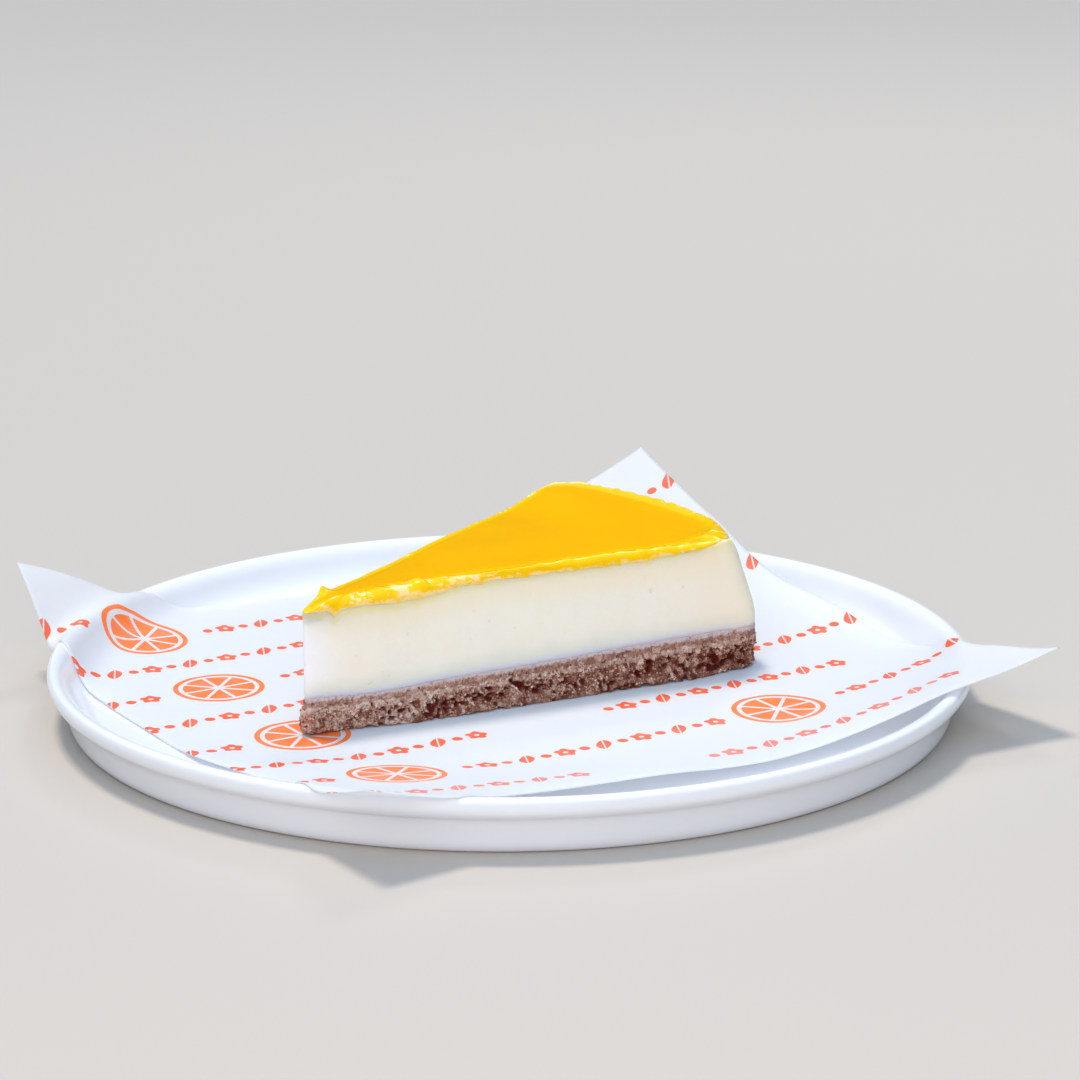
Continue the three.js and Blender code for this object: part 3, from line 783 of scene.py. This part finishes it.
def crumb_wall():
    """Rings of the crumb wall, with each point's tone with painted light and shade, its relief and its
    layer height.
    """
    outline, length = slice_outline(CRUMB_SPACING)
    inward = inward_of(outline)
    count = len(outline)
    step = length / count
    s = np.arange(count) * step
    z = SLICE_BOTTOM + np.arange(CRUMB_LEVELS) * ((BASE_TOP - SLICE_BOTTOM) / (CRUMB_LEVELS - 1))
    height = np.full((CRUMB_LEVELS, count), BARE_DEPTH)
    tone = np.full((CRUMB_LEVELS, count), BARE_TONE)
    draw = np.random.default_rng(CRUMB_SEED)
    press_crumbs(draw, length, step, z, height, tone)
    grid_s, grid_z = np.meshgrid(s, z)
    height += 0.14 * noise(grid_s / 0.6, grid_z / 0.6, 1.0) + 0.25 * noise(grid_s / 5, grid_z / 4, 5.0)
    up = (grid_z - SLICE_BOTTOM) / (BASE_TOP - SLICE_BOTTOM)
    calm = step_up(up, 0.6, 0.95)
    height = height * (1 - 0.65 * calm) * (1 + 0.5 * outer_share(outline)) - 0.05 * calm
    tear_holes(draw, length, grid_s, grid_z, height)
    height -= 0.4 * np.clip(1 - (grid_z - SLICE_BOTTOM) / 1.1, 0, 1) ** 2
    height = np.clip(height, WALL_DEEPEST, WALL_PROUDEST)
    tip_crumbs = TIP_CRUMBS_OUT * ridge(np.hypot(*outline.T), 0, 6)
    height += tip_crumbs * step_up(grid_z, 5, 7.5) * (1 - step_up(grid_z, 11, 15.5))
    on_front = (outline[:, 1] < 0.5) * step_up(s, 4, 26) * (1 - step_up(s, 100, 126))
    # Painted light and shade: the crumbs are painted lighter towards the tip, as if lit from the left, and
    # darker low down towards the far end, as painted shade.
    tone += 0.14 * (1 - step_up(outline[:, 0], 20, 50))
    tone -= 0.17 * step_up(outline[:, 0], 68, 98) * (1 - step_up(up, 0.45, 0.75))
    rings = []
    for level in range(CRUMB_LEVELS):
        spread = FOOT_SPREAD * on_front * (1 - min(z[level] - SLICE_BOTTOM, FOOT_RISE) / FOOT_RISE) ** 1.3
        plan = outline - inward * (height[level] + spread)[:, None]
        uneven = noise(s / 3.5, 2.0, 2.0) + noise(s / 11, 5.0, 2.0) * 0.5
        off_floor = 0.4 * np.maximum(uneven, 0) * max(1 - level / 5, 0)
        lifted = z[level] + base_lift(outline) * (z[level] - SLICE_BOTTOM) / (BASE_TOP - SLICE_BOTTOM)
        rings.append(np.column_stack([plan, lifted + off_floor]))
    return rings, tone, height, grid_z


def crumb_colour(start, shade, place):
    """Brown of the crumbs, from a dark one at 0 to a pale dusty one at 1."""
    light = shade + cloud(start, place, 0.45, 3.0, 0.65) * 1.4 + cloud(start, place, 2.6, 3.0) * 0.9 - 1.09
    stops = (
        (0.0, linear(92, 36, 26)),
        (0.25, linear(124, 74, 56)),
        (0.5, linear(162, 117, 96)),
        (0.75, linear(202, 169, 150)),
        (1.0, linear(234, 216, 203)),
    )
    return start.node("ShaderNodeValToRGB", {"stops": stops}, {"Fac": light})


rings, tone, height, nominal = crumb_wall()
points, faces = stacked(rings)
rings = np.array(rings)

crumb_finish, start = finish("cocoa_crumb")
place, _ = millimetres(start)
brown = crumb_colour(start, stored(start, "tone"), place)
height_up = stored(start, "layer") + (cloud(start, place, 2.4, 2.0) - 0.5) * 1.2
ragged_up = height_up + (cloud(start, place, 0.7, 2.0) - 0.5) * 2.4
damp_top = height_up.between(13.3, 13.8) * 0.6
pale_band = height_up.between(11.7, 12.4) * (1 - height_up.between(13.2, 13.7)) * 0.45
dark_foot = (1 - height_up.between(8.0, 12.5)) * 0.3
milky_edge = ragged_up.between(14.7, 15.8) * 0.8
# Painted shade: the deeper a hole in the wall, the darker red-brown it is painted.
crevice_shade = stored(start, "depth").between(0.5, 1.5) * 0.88
brown = damp_top.mixed(brown, linear(158, 118, 102))
brown = pale_band.mixed(brown, linear(212, 190, 178))
brown = dark_foot.mixed(brown, linear(104, 58, 46))
brown = milky_edge.mixed(brown, linear(214, 203, 204))
brown = crevice_shade.mixed(brown, linear(98, 18, 10))
surfaced(
    start,
    Base__Color=brown,
    Roughness=0.74 - 0.15 * cloud(start, place, 0.5, 3.0),
    Normal=bumped(start, cloud(start, place, 0.4, 2.0), 0.25),
    Specular__IOR__Level=0.3,
)
base = piece("crumb_base_cut", on_plate(points), faces, crumb_finish, "crumb_base")
keep(base, "tone", tone)
keep(base, "depth", np.clip(0.3 - height, 0, 3))
keep(base, "layer", nominal)


# Loose grains. Crumbs of the same biscuit, a third of a millimetre to a millimetre across, which the
# knife left standing off the cut wall. They are scattered over it and turned about.

GRAIN_DENSITY = 1.5
GRAIN_SMALLEST = 0.13
GRAIN_LARGEST = 0.44
GRAIN_LEANEST = (0.7, 0.7, 0.6)
GRAIN_FATTEST = (1.3, 1.3, 1.0)
GRAIN_DARKEST = 0.05
GRAIN_PALEST = 0.82
FULL_TURN = 6.28

grain_finish, start = finish("cocoa_grain")
place, _ = millimetres(start)
brown = crumb_colour(start, stored(start, "tone"), place)
surfaced(start, Base__Color=brown, Roughness=0.75, Specular__IOR__Level=0.3)


def any_between(start, low, high, seed):
    """A random number, or three of them, for each grain."""
    if isinstance(low, tuple):
        kind, sockets, output = "FLOAT_VECTOR", {0: low, 1: high}, 0
    else:
        kind, sockets, output = "FLOAT", {2: low, 3: high}, 1
    return start.node("FunctionNodeRandomValue", {"data_type": kind}, {**sockets, "Seed": seed}, output)


def grain_tree(grain_of):
    """Node tree that scatters grains over the mesh that it is put on, and keeps only the grains."""
    tree = bpy.data.node_groups.new("crumb_grains", "GeometryNodeTree")
    for name, kind, direction in (
        ("Wall", "NodeSocketGeometry", "INPUT"),
        ("Grains a square metre", "NodeSocketFloat", "INPUT"),
        ("Smallest", "NodeSocketFloat", "INPUT"),
        ("Largest", "NodeSocketFloat", "INPUT"),
        ("Seed", "NodeSocketInt", "INPUT"),
        ("Grains", "NodeSocketGeometry", "OUTPUT"),
    ):
        tree.interface.new_socket(name, in_out=direction, socket_type=kind)
    start = Wire(tree)
    wall, density, smallest, largest, seed = (start.node("NodeGroupInput", {}, {}, i) for i in range(5))
    proud = start.node("GeometryNodeInputNamedAttribute", {"data_type": "FLOAT"}, {"Name": "proud"})
    on_wall = {"distribute_method": "RANDOM"}
    spots = {"Mesh": wall, "Density": density * proud, "Seed": seed}
    scatter = start.node("GeometryNodeDistributePointsOnFaces", on_wall, spots)
    grain = start.node("GeometryNodeMeshIcoSphere", {}, {"Radius": 1.0, "Subdivisions": 1})
    turned = any_between(start, (0, 0, 0), (FULL_TURN, FULL_TURN, FULL_TURN), 3)
    spread = any_between(start, 0.0, 1.0, 5)
    size = smallest + (largest - smallest) * spread * spread * spread
    shape = any_between(start, GRAIN_LEANEST, GRAIN_FATTEST, 9)
    scaled = start.node("ShaderNodeVectorMath", {"operation": "SCALE"}, {0: shape, "Scale": size})
    sockets = {"Points": scatter, "Instance": grain, "Rotation": turned, "Scale": scaled}
    placed = start.node("GeometryNodeInstanceOnPoints", {}, sockets)
    pale = any_between(start, GRAIN_DARKEST, GRAIN_PALEST, 11)
    named = {"domain": "INSTANCE", "data_type": "FLOAT"}
    sockets = {"Geometry": placed, "Name": "tone", "Value": pale}
    toned = start.node("GeometryNodeStoreNamedAttribute", named, sockets)
    real = start.node("GeometryNodeRealizeInstances", {}, {0: toned})
    coated = start.node("GeometryNodeSetMaterial", {}, {"Geometry": real, "Material": grain_of})
    start.node("NodeGroupOutput", {}, {0: coated})
    return tree


def grown(name, source, tree, settings):
    """Plain mesh object of what a node tree makes from a source mesh."""
    carrier = added(name + "_carrier", source)
    modifier = carrier.modifiers.new("grow", "NODES")
    modifier.node_group = tree
    for item in tree.interface.items_tree:
        if item.in_out == "INPUT" and item.name in settings:
            modifier[item.identifier] = settings[item.name]
    bpy.context.view_layer.update()
    seen = bpy.context.evaluated_depsgraph_get()
    mesh = bpy.data.meshes.new_from_object(carrier.evaluated_get(seen), depsgraph=seen)
    bpy.data.objects.remove(carrier)
    return added(name, mesh)


close = step_up(nominal, 12.2, 14.4)
keep(base, "proud", step_up(height, -1.3, -0.2) * (1 - 0.85 * close) * (nominal > 6.4) * (nominal < 15.6))
grains = grown(
    "crumb_grains",
    base.data,
    grain_tree(grain_finish),
    {
        "Grains a square metre": GRAIN_DENSITY / MILLIMETRE**2,
        "Smallest": GRAIN_SMALLEST * MILLIMETRE,
        "Largest": GRAIN_LARGEST * MILLIMETRE,
        "Seed": 4,
    },
)
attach(grains, "root")


# Filling. Set cream cheese, poured on the base in the ring and cut cold with a wet knife: close and
# pale, with a few small pores that the blade opened, and a rounded wall where it left the ring.

CHEESE_SPACING = 0.42
CHEESE_LEVELS = 56
CHEESE_TUCK = 0.35
PORE_COUNT = 150
PORE_HEIGHTS = (18, 37)
PORE_RADII = (0.3, 0.7)
PORE_SEED = 23
RIM_AT_TIP = 37.3
RIM_RISE = 1.7
# Where the glaze hangs down over the front cut: each a height, a middle and a reach
DRIPS = ((-1.5, 10.4, 1.3), (-0.5, 25.5, 3.5), (-0.4, 100, 4.5))
# The top under the glaze is closed by two rings: how far each lies in, and below the rim
TOP_CLOSING = ((5.0, 0.0), (5.8, 2.5))


def front_share(w):
    """1 on the front cut, 0 elsewhere."""
    return step_up(2.0 - w, 0, 2)


def cheese_rim(outline):
    """Height at which the filling meets the glaze, round the outline."""
    s, w = outline.T
    front = front_share(w)
    level = RIM_AT_TIP + RIM_RISE * step_up(s, 32, 48)
    corner = (0.6 * step_up(s, 99, 107) + 1.5 * step_up(s, 116, 128)) * (1 - step_up(w, 2, 16))
    wander = 0.26 * noise(s / 4.5, w / 4.5, 6.0) + 0.16 * noise(s / 1.2, w / 1.2, 2.0)
    other = -0.5 * np.maximum(noise(s / 3.5, w / 3.5, 11.0), 0) - 0.9 * outer_share(outline)
    other = other - 1.3 * step_up(w, 8, 16) * (1 - step_up(s, 90, 108))
    return level + front * hills(s, DRIPS) + corner + wander + other * (1 - front)


outline, length = slice_outline(CHEESE_SPACING)
inward = inward_of(outline)
gap_share = np.clip(np.hypot(*outline.T) / 40, 0.1, 1)
rim = cheese_rim(outline)
floor = BASE_TOP + base_lift(outline)
outer = outer_share(outline)
gone = np.arange(len(outline)) * length / len(outline)
draw = np.random.default_rng(PORE_SEED)
pores = []
for _ in range(PORE_COUNT):
    pores.append((draw.uniform(0, length), draw.uniform(*PORE_HEIGHTS), draw.uniform(*PORE_RADII)))
rings = []
for level in range(CHEESE_LEVELS):
    share = level / (CHEESE_LEVELS - 1)
    z = floor - CHEESE_TUCK + (rim - floor + CHEESE_TUCK) * share
    dent = 0.1 * noise(gone / 11, z / 6, 4.0) + 0.035 * noise(gone / 1.6, z / 1.6, 9.0)
    for at, pore_z, size in pores:
        away = np.minimum(abs(gone - at), length - abs(gone - at))
        near = away < size * 1.5
        if abs(pore_z - np.mean(z)) < 3:
            from_pore = away[near] ** 2 + (z[near] - pore_z) ** 2
            dent[near] -= size * 0.35 * np.exp(-(from_pore / (size * 0.6) ** 2))
    upper = np.clip((z - rim + 2 + 2.5 * outer) / (2 + 2.5 * outer), 0, 1) ** 2
    shoulder = (1.1 * outer - 0.08 * (1 - outer)) * upper
    foot = 0.12 * np.clip(1 - (z - floor) / 1.2, 0, 1) ** 2
    inset = 0.1 + shoulder + foot - dent * (1 - 0.8 * upper)
    rings.append(np.column_stack([outline + inward * inset[:, None], z]))
for inset, drop in TOP_CLOSING:
    rings.append(np.column_stack([outline + inward * (inset * gap_share)[:, None], rim - drop]))
points, faces = stacked(rings)

cheese_finish, start = finish("set_cream_cheese")
place, (x, _, _) = millimetres(start)
below = stored(start, "below")
over_base = stored(start, "over_base")
tip_end = stored(start, "tip_end")
fine = cloud(start, place, 0.4, 2.0, 0.6)
drift = cloud(start, place, 9, 3.0)
edge = below - stored(start, "tip_side") * 0.8 + (cloud(start, place, 1.5, 3.0, 0.6) - 0.5) * 3.2
under_glaze = (1 - below.between(1.0, 10.0)) * 0.8 * (1 - tip_end * 0.5)
low_down = (1 - (over_base + drift * 3).between(1.5, 8.0)) * 0.85
seam = (1 - (over_base + fine * 2.0).between(1.1, 3.4)) * 0.85
specks = 1 - (cloud(start, place, 2.2, 1.0) + 0.25 * fine).between(0.3, 0.38)
soaked = (1 - edge.between(0.6, 1.6)) * 0.9
cream = drift.mixed(linear(242, 239, 220), linear(248, 245, 229))
# Painted light: the blunt tip end, which faces the light, is painted near white.
cream = (tip_end * 0.8).mixed(cream, linear(249, 255, 252))
cream = under_glaze.mixed(cream, linear(255, 236, 201))
cream = low_down.mixed(cream, linear(223, 229, 213))
cream = seam.mixed(cream, linear(220, 218, 228))
cream = (x.between(35, 62) * 0.4).mixed(cream, linear(255, 233, 197))
cream = (specks * 0.5).mixed(cream, linear(236, 206, 150))
cream = soaked.mixed(cream, linear(255, 236, 172))
cream = (stored(start, "trickle") * 0.8).mixed(cream, linear(252, 205, 60))
surfaced(
    start,
    Base__Color=cream,
    Roughness=0.4 + 0.2 * fine,
    Normal=bumped(start, fine + drift, 0.1),
    Subsurface__Weight=0.6,
    Subsurface__Radius=(1.0, 0.8, 0.55),
    Subsurface__Scale=0.006,
    Specular__IOR__Level=0.35,
)
filling = piece("cheese_layer", on_plate(points), faces, cheese_finish, "cheese_filling")
rings = np.array(rings)
keep(filling, "below", rim - rings[:, :, 2])
keep(filling, "over_base", rings[:, :, 2] - floor)
keep(filling, "tip_end", np.broadcast_to(1 - step_up(np.hypot(*outline.T), 2, 16), rings.shape[:2]))
from_corner = np.hypot(*(outline - (0.6, 1.6)).T)
run_down = ridge(from_corner, 0, 0.5) * step_up(rings[:, :, 2], 33.2, 34.4)
keep(filling, "trickle", run_down)
by_tip = (1 - step_up(outline[:, 0], 30, 60)) * front_share(outline[:, 1])
keep(filling, "tip_side", np.broadcast_to(by_tip, rings.shape[:2]))


# Glaze. A yellow fruit jelly poured over the set filling. It is cut with the slice, so its edge stands
# as a rounded, wavy lip over the cut, and the knife drew pale cheese over it near the tip.

GLAZE_SPACING = 0.36
SHOULDER_TURNS = 9
TOP_INSETS = (0.15, 0.35, 0.6, 0.9, 1.3, 1.8, 2.5, 3.4, 4.5)
INNER_SPACING = 1.5
GLAZE_TOP_TIP = 39.9
GLAZE_TOP_OUTER = 41.3
GLAZE_TOP_BACK = 38.9
GLAZE_THINNEST = 0.25
# The face under the glaze: how far it lies in, and below the rim
UNDERSIDE_INSET = 1.6
UNDERSIDE_DROP = 0.25
# Shares of the way to the heart of the slice: where the lip fades, and where the rings stop
LIP_FADES = 0.75
RINGS_STOP = 0.8
BLOB_ALONG = 35.5
# How strongly the knife smeared cheese over the glaze's edge: each a height, a middle and a reach
SMEARS = ((0.65, 8, 3.5), (0.62, 17, 5), (1.15, 29.5, 2.6), (0.62, 44, 7), (-0.6, 10.4, 1.6), (0.3, 58, 10))

outline, length = slice_outline(GLAZE_SPACING)
rim = cheese_rim(outline)
outer = outer_share(outline)
along_spine = SPINE[1] - SPINE[0]
share = np.clip((outline - SPINE[0]) @ along_spine / (along_spine @ along_spine), 0, 1)
heart = SPINE[0] + share[:, None] * along_spine
room = np.linalg.norm(heart - outline, axis=1)
toward_heart = (heart - outline) / room[:, None]
s, w = outline.T
front = front_share(w)
near_tip = front * (1 - step_up(s, 34, 56))
from_front_corner = np.hypot(s - FRONT_CUT, w)
from_tip_back = np.hypot(s - TIP_BACK[0], w - TIP_BACK[1])
retreat = 0.3 * outer + 2.4 * ridge(from_front_corner, 0, 6) - 0.8 * ridge(from_tip_back, 0, 4)
calm = 1 - 0.85 * ridge(from_front_corner, 0, 14)
shoulder = 0.75 + 3.0 * near_tip + 0.15 * noise(s / 3, w / 3, 21.0) + 1.3 * outer
shoulder *= 1 - 0.65 * ridge(from_tip_back, 0, 3.5)
wider = front * (1.5 + 0.5 * noise(s / 7, 0.5, 23.0)) * step_up(s, 62, 80)
shoulder += wider + 3.6 * ridge(from_front_corner, 0, 12)


def glaze_level(plan):
    """Height of the glaze's top over plan points, without its lip."""
    s, w = plan.T
    front = GLAZE_TOP_TIP + (GLAZE_TOP_OUTER - GLAZE_TOP_TIP) * step_up(s, 10, 60)
    back = GLAZE_TOP_BACK + 0.9 * step_up(s, 30, 60) + 2.1 * step_up(s, 85, 110)
    along_back = np.array(BACK_CORNER) - TIP_BACK
    from_back = (s - TIP_BACK[0]) * along_back[1] - (w - TIP_BACK[1]) * along_back[0]
    from_back = from_back / np.hypot(*along_back)
    across = np.clip(w / (w + np.maximum(from_back, 0) + 0.01), 0, 1)
    level = front + (back - front) * across**2
    peak = np.hypot(s - TIP_BACK[0] + 0.5, w - TIP_BACK[1] - 0.5)
    slow = 0.1 * noise(s / 14, w / 14, 2.0)
    front_corner = 0.35 * ridge(np.hypot(s - FRONT_CUT, w), 0, 13)
    return level + slow + front_corner + 1.8 * ridge(peak, 0, 2.3) - 2.3 * ridge(np.hypot(s, w), 0, 8)


def lip(inset):
    """Height of the lip along the glaze's upper edge, broken by waves, and the dip behind it."""
    waves = np.maximum(0.35 + 1.1 * noise(s / 3.4, w / 3.4, 31.0) + 0.4 * noise(s / 9, w / 9, 33.0), 0)
    waves = waves * (1 - 0.55 * step_up(s, 88, 100))
    waves = waves + 0.75 * noise(s / 1.5, w / 1.5, 39.0) * step_up(s, 50, 75)
    lumps = near_tip * noise(s / 1.7, w / 1.7 + inset / 1.3, 35.0) * np.exp(-inset / 1.6)
    blob = front * ridge(s, BLOB_ALONG, 1.9) * ridge(inset, 0.5, 1.4)
    rough = outer * calm * noise(s / 2.2, w / 2.2 + inset / 1.6, 37.0) * np.exp(-inset / 2.4)
    dip = (0.1 * (1 - near_tip) + 0.25 * outer) * calm * ridge(inset, 1.7 + 0.8 * outer, 0.8 + 0.4 * outer)
    meniscus = 1.0 * outer * ridge(inset, 0, 3.2) * (1 - 0.5 * step_up(w, 55, 80))
    return 0.27 * waves * ridge(inset, 0.3, 0.5) - dip + 0.3 * lumps + 0.8 * blob + 0.25 * rough + meniscus


def shoulder_ring(turn):
    """One ring of the glaze's rounded edge: at its foot for 0, at the start of its top for 1."""
    angle = turn * math.pi / 2
    inset = shoulder * (1 - math.cos(angle)) + retreat
    swell = (0.03 + 0.05 * near_tip + 0.4 * front * ridge(s, BLOB_ALONG, 1.8)) * math.sin(2 * angle)
    uneven = 0.08 + 0.26 * near_tip + 0.14 * front * step_up(s, 55, 80) + 0.3 * outer
    dented = uneven * calm * noise(s / 1.9, w / 1.9 + turn * 1.4, 41.0) * math.sin(angle)
    plan = outline + toward_heart * (inset - swell + dented * 0.6 + 0.08)[:, None]
    thick = np.maximum(glaze_level(plan) + lip(0.0) - rim, GLAZE_THINNEST)
    return np.column_stack([plan, rim + thick * math.sin(angle)])


def top_ring(inset):
    """One ring of the glaze's top, so far in from its rounded edge."""
    reach = np.minimum(inset + shoulder + retreat, RINGS_STOP * room)
    plan = outline + toward_heart * reach[:, None]
    level = glaze_level(plan) + lip(inset) * (reach < LIP_FADES * room)
    return np.column_stack([plan, np.maximum(level, rim + GLAZE_THINNEST)])


turns = [turn / SHOULDER_TURNS for turn in range(SHOULDER_TURNS + 1)]
ring_size = len(outline)
underside = outline + toward_heart * (UNDERSIDE_INSET + retreat)[:, None]
under = np.column_stack([underside, rim - UNDERSIDE_DROP])
tucked = shoulder_ring(0) + np.column_stack([toward_heart * 0.06, np.full(ring_size, -0.15)])
rings = [under, tucked, *map(shoulder_ring, turns), *map(top_ring, TOP_INSETS)]
points, faces = stacked(rings)

# The top inside the last ring is filled with even triangles, in place of the face that closes it. The
# fill gives the ring's own points back first.
border = [Vector(spot) for spot in rings[-1][:, :2]]
grid = np.mgrid[0 : FRONT_CUT : INNER_SPACING, 0 : BACK_CORNER[1] : INNER_SPACING].reshape(2, -1).T
around = rings[-1][::4, :2]
clear = [np.min(np.hypot(*(around - spot).T)) > INNER_SPACING for spot in grid]
inner = [Vector(spot) for spot in grid[clear]]
filled = delaunay_2d_cdt(border + inner, [], [list(range(ring_size))], 1, 1e-4)
assert [spot.to_tuple(3) for spot in filled[0][:ring_size]] == [spot.to_tuple(3) for spot in border]
inside = np.array([tuple(spot) for spot in filled[0][ring_size:]])
faces.pop()
first = len(points) - ring_size
faces += [tuple(first + corner for corner in face) for face in filled[2]]
points = np.concatenate([points, np.column_stack([inside, glaze_level(inside)])])
rise = np.array([0, 0, *turns, *(1 + inset for inset in TOP_INSETS)])
rise = np.concatenate([np.repeat(rise, ring_size), np.full(len(inside), 9.0)])
# Share of pale on the glaze's edge: the knife's smears near the tip, and along the outer edge and round the
# back corner a share that is partly cream and partly painted highlight.
smears_and_glints = front * hills(s, SMEARS) + 0.45 * outer
smears_and_glints += 1.3 * ridge(np.hypot(s - BACK_CORNER[0], w - BACK_CORNER[1]), 0, 14)
gone = np.arange(ring_size) * length / ring_size

glaze_finish, start = finish("yellow_fruit_glaze")
place, _ = millimetres(start)
up = stored(start, "rise")
drawn = stored(start, "smear")
run = stored(start, "run")
along_edge = start.node("ShaderNodeCombineXYZ", {}, {0: run * 0.35, 1: up * 2.2 + run * 0.07, 2: 0.0})
streaky = cloud(start, along_edge, 1.0, 3.0, 0.55)
# Pale patches: cream smears, and on the outer edge and back corner partly painted highlight.
on_edge = 1 - (up - drawn * 0.5).between(1.0, 1.4)
patch = (drawn * 0.38 + streaky).between(0.7, 0.77) * on_edge * up.between(0.12, 0.3)
foot = 1 - (up + (streaky - 0.5) * 1.6 - drawn * 0.12).between(-0.05, 0.2)
pale = patch.maths("MAXIMUM", patch, foot * 0.8)
yellow = cloud(start, place, 22, 2.0).mixed(linear(255, 184, 0), linear(255, 189, 0))
yellow = (1 - up.between(1.2, 6.0)).mixed(yellow, linear(255, 200, 0))
surfaced(
    start,
    Base__Color=(pale * 0.85).mixed(yellow, linear(255, 226, 160)),
    Roughness=0.07 + 0.1 * streaky,
    Normal=bumped(start, streaky * (1 - up.between(0.8, 2.0)) + 0.3 * cloud(start, place, 5, 2.0), 0.1),
    Specular__IOR__Level=0.14,
    Subsurface__Weight=0.15,
    Subsurface__Radius=(1.0, 0.55, 0.02),
    Subsurface__Scale=0.003,
)
glaze = piece("yellow_glaze_top", on_plate(points), faces, glaze_finish, "glaze")
keep(glaze, "rise", rise)
clean = np.zeros(len(inside))
keep(glaze, "smear", np.concatenate([np.tile(smears_and_glints, len(rings)), clean]))
keep(glaze, "run", np.concatenate([np.tile(gone, len(rings)), clean]))
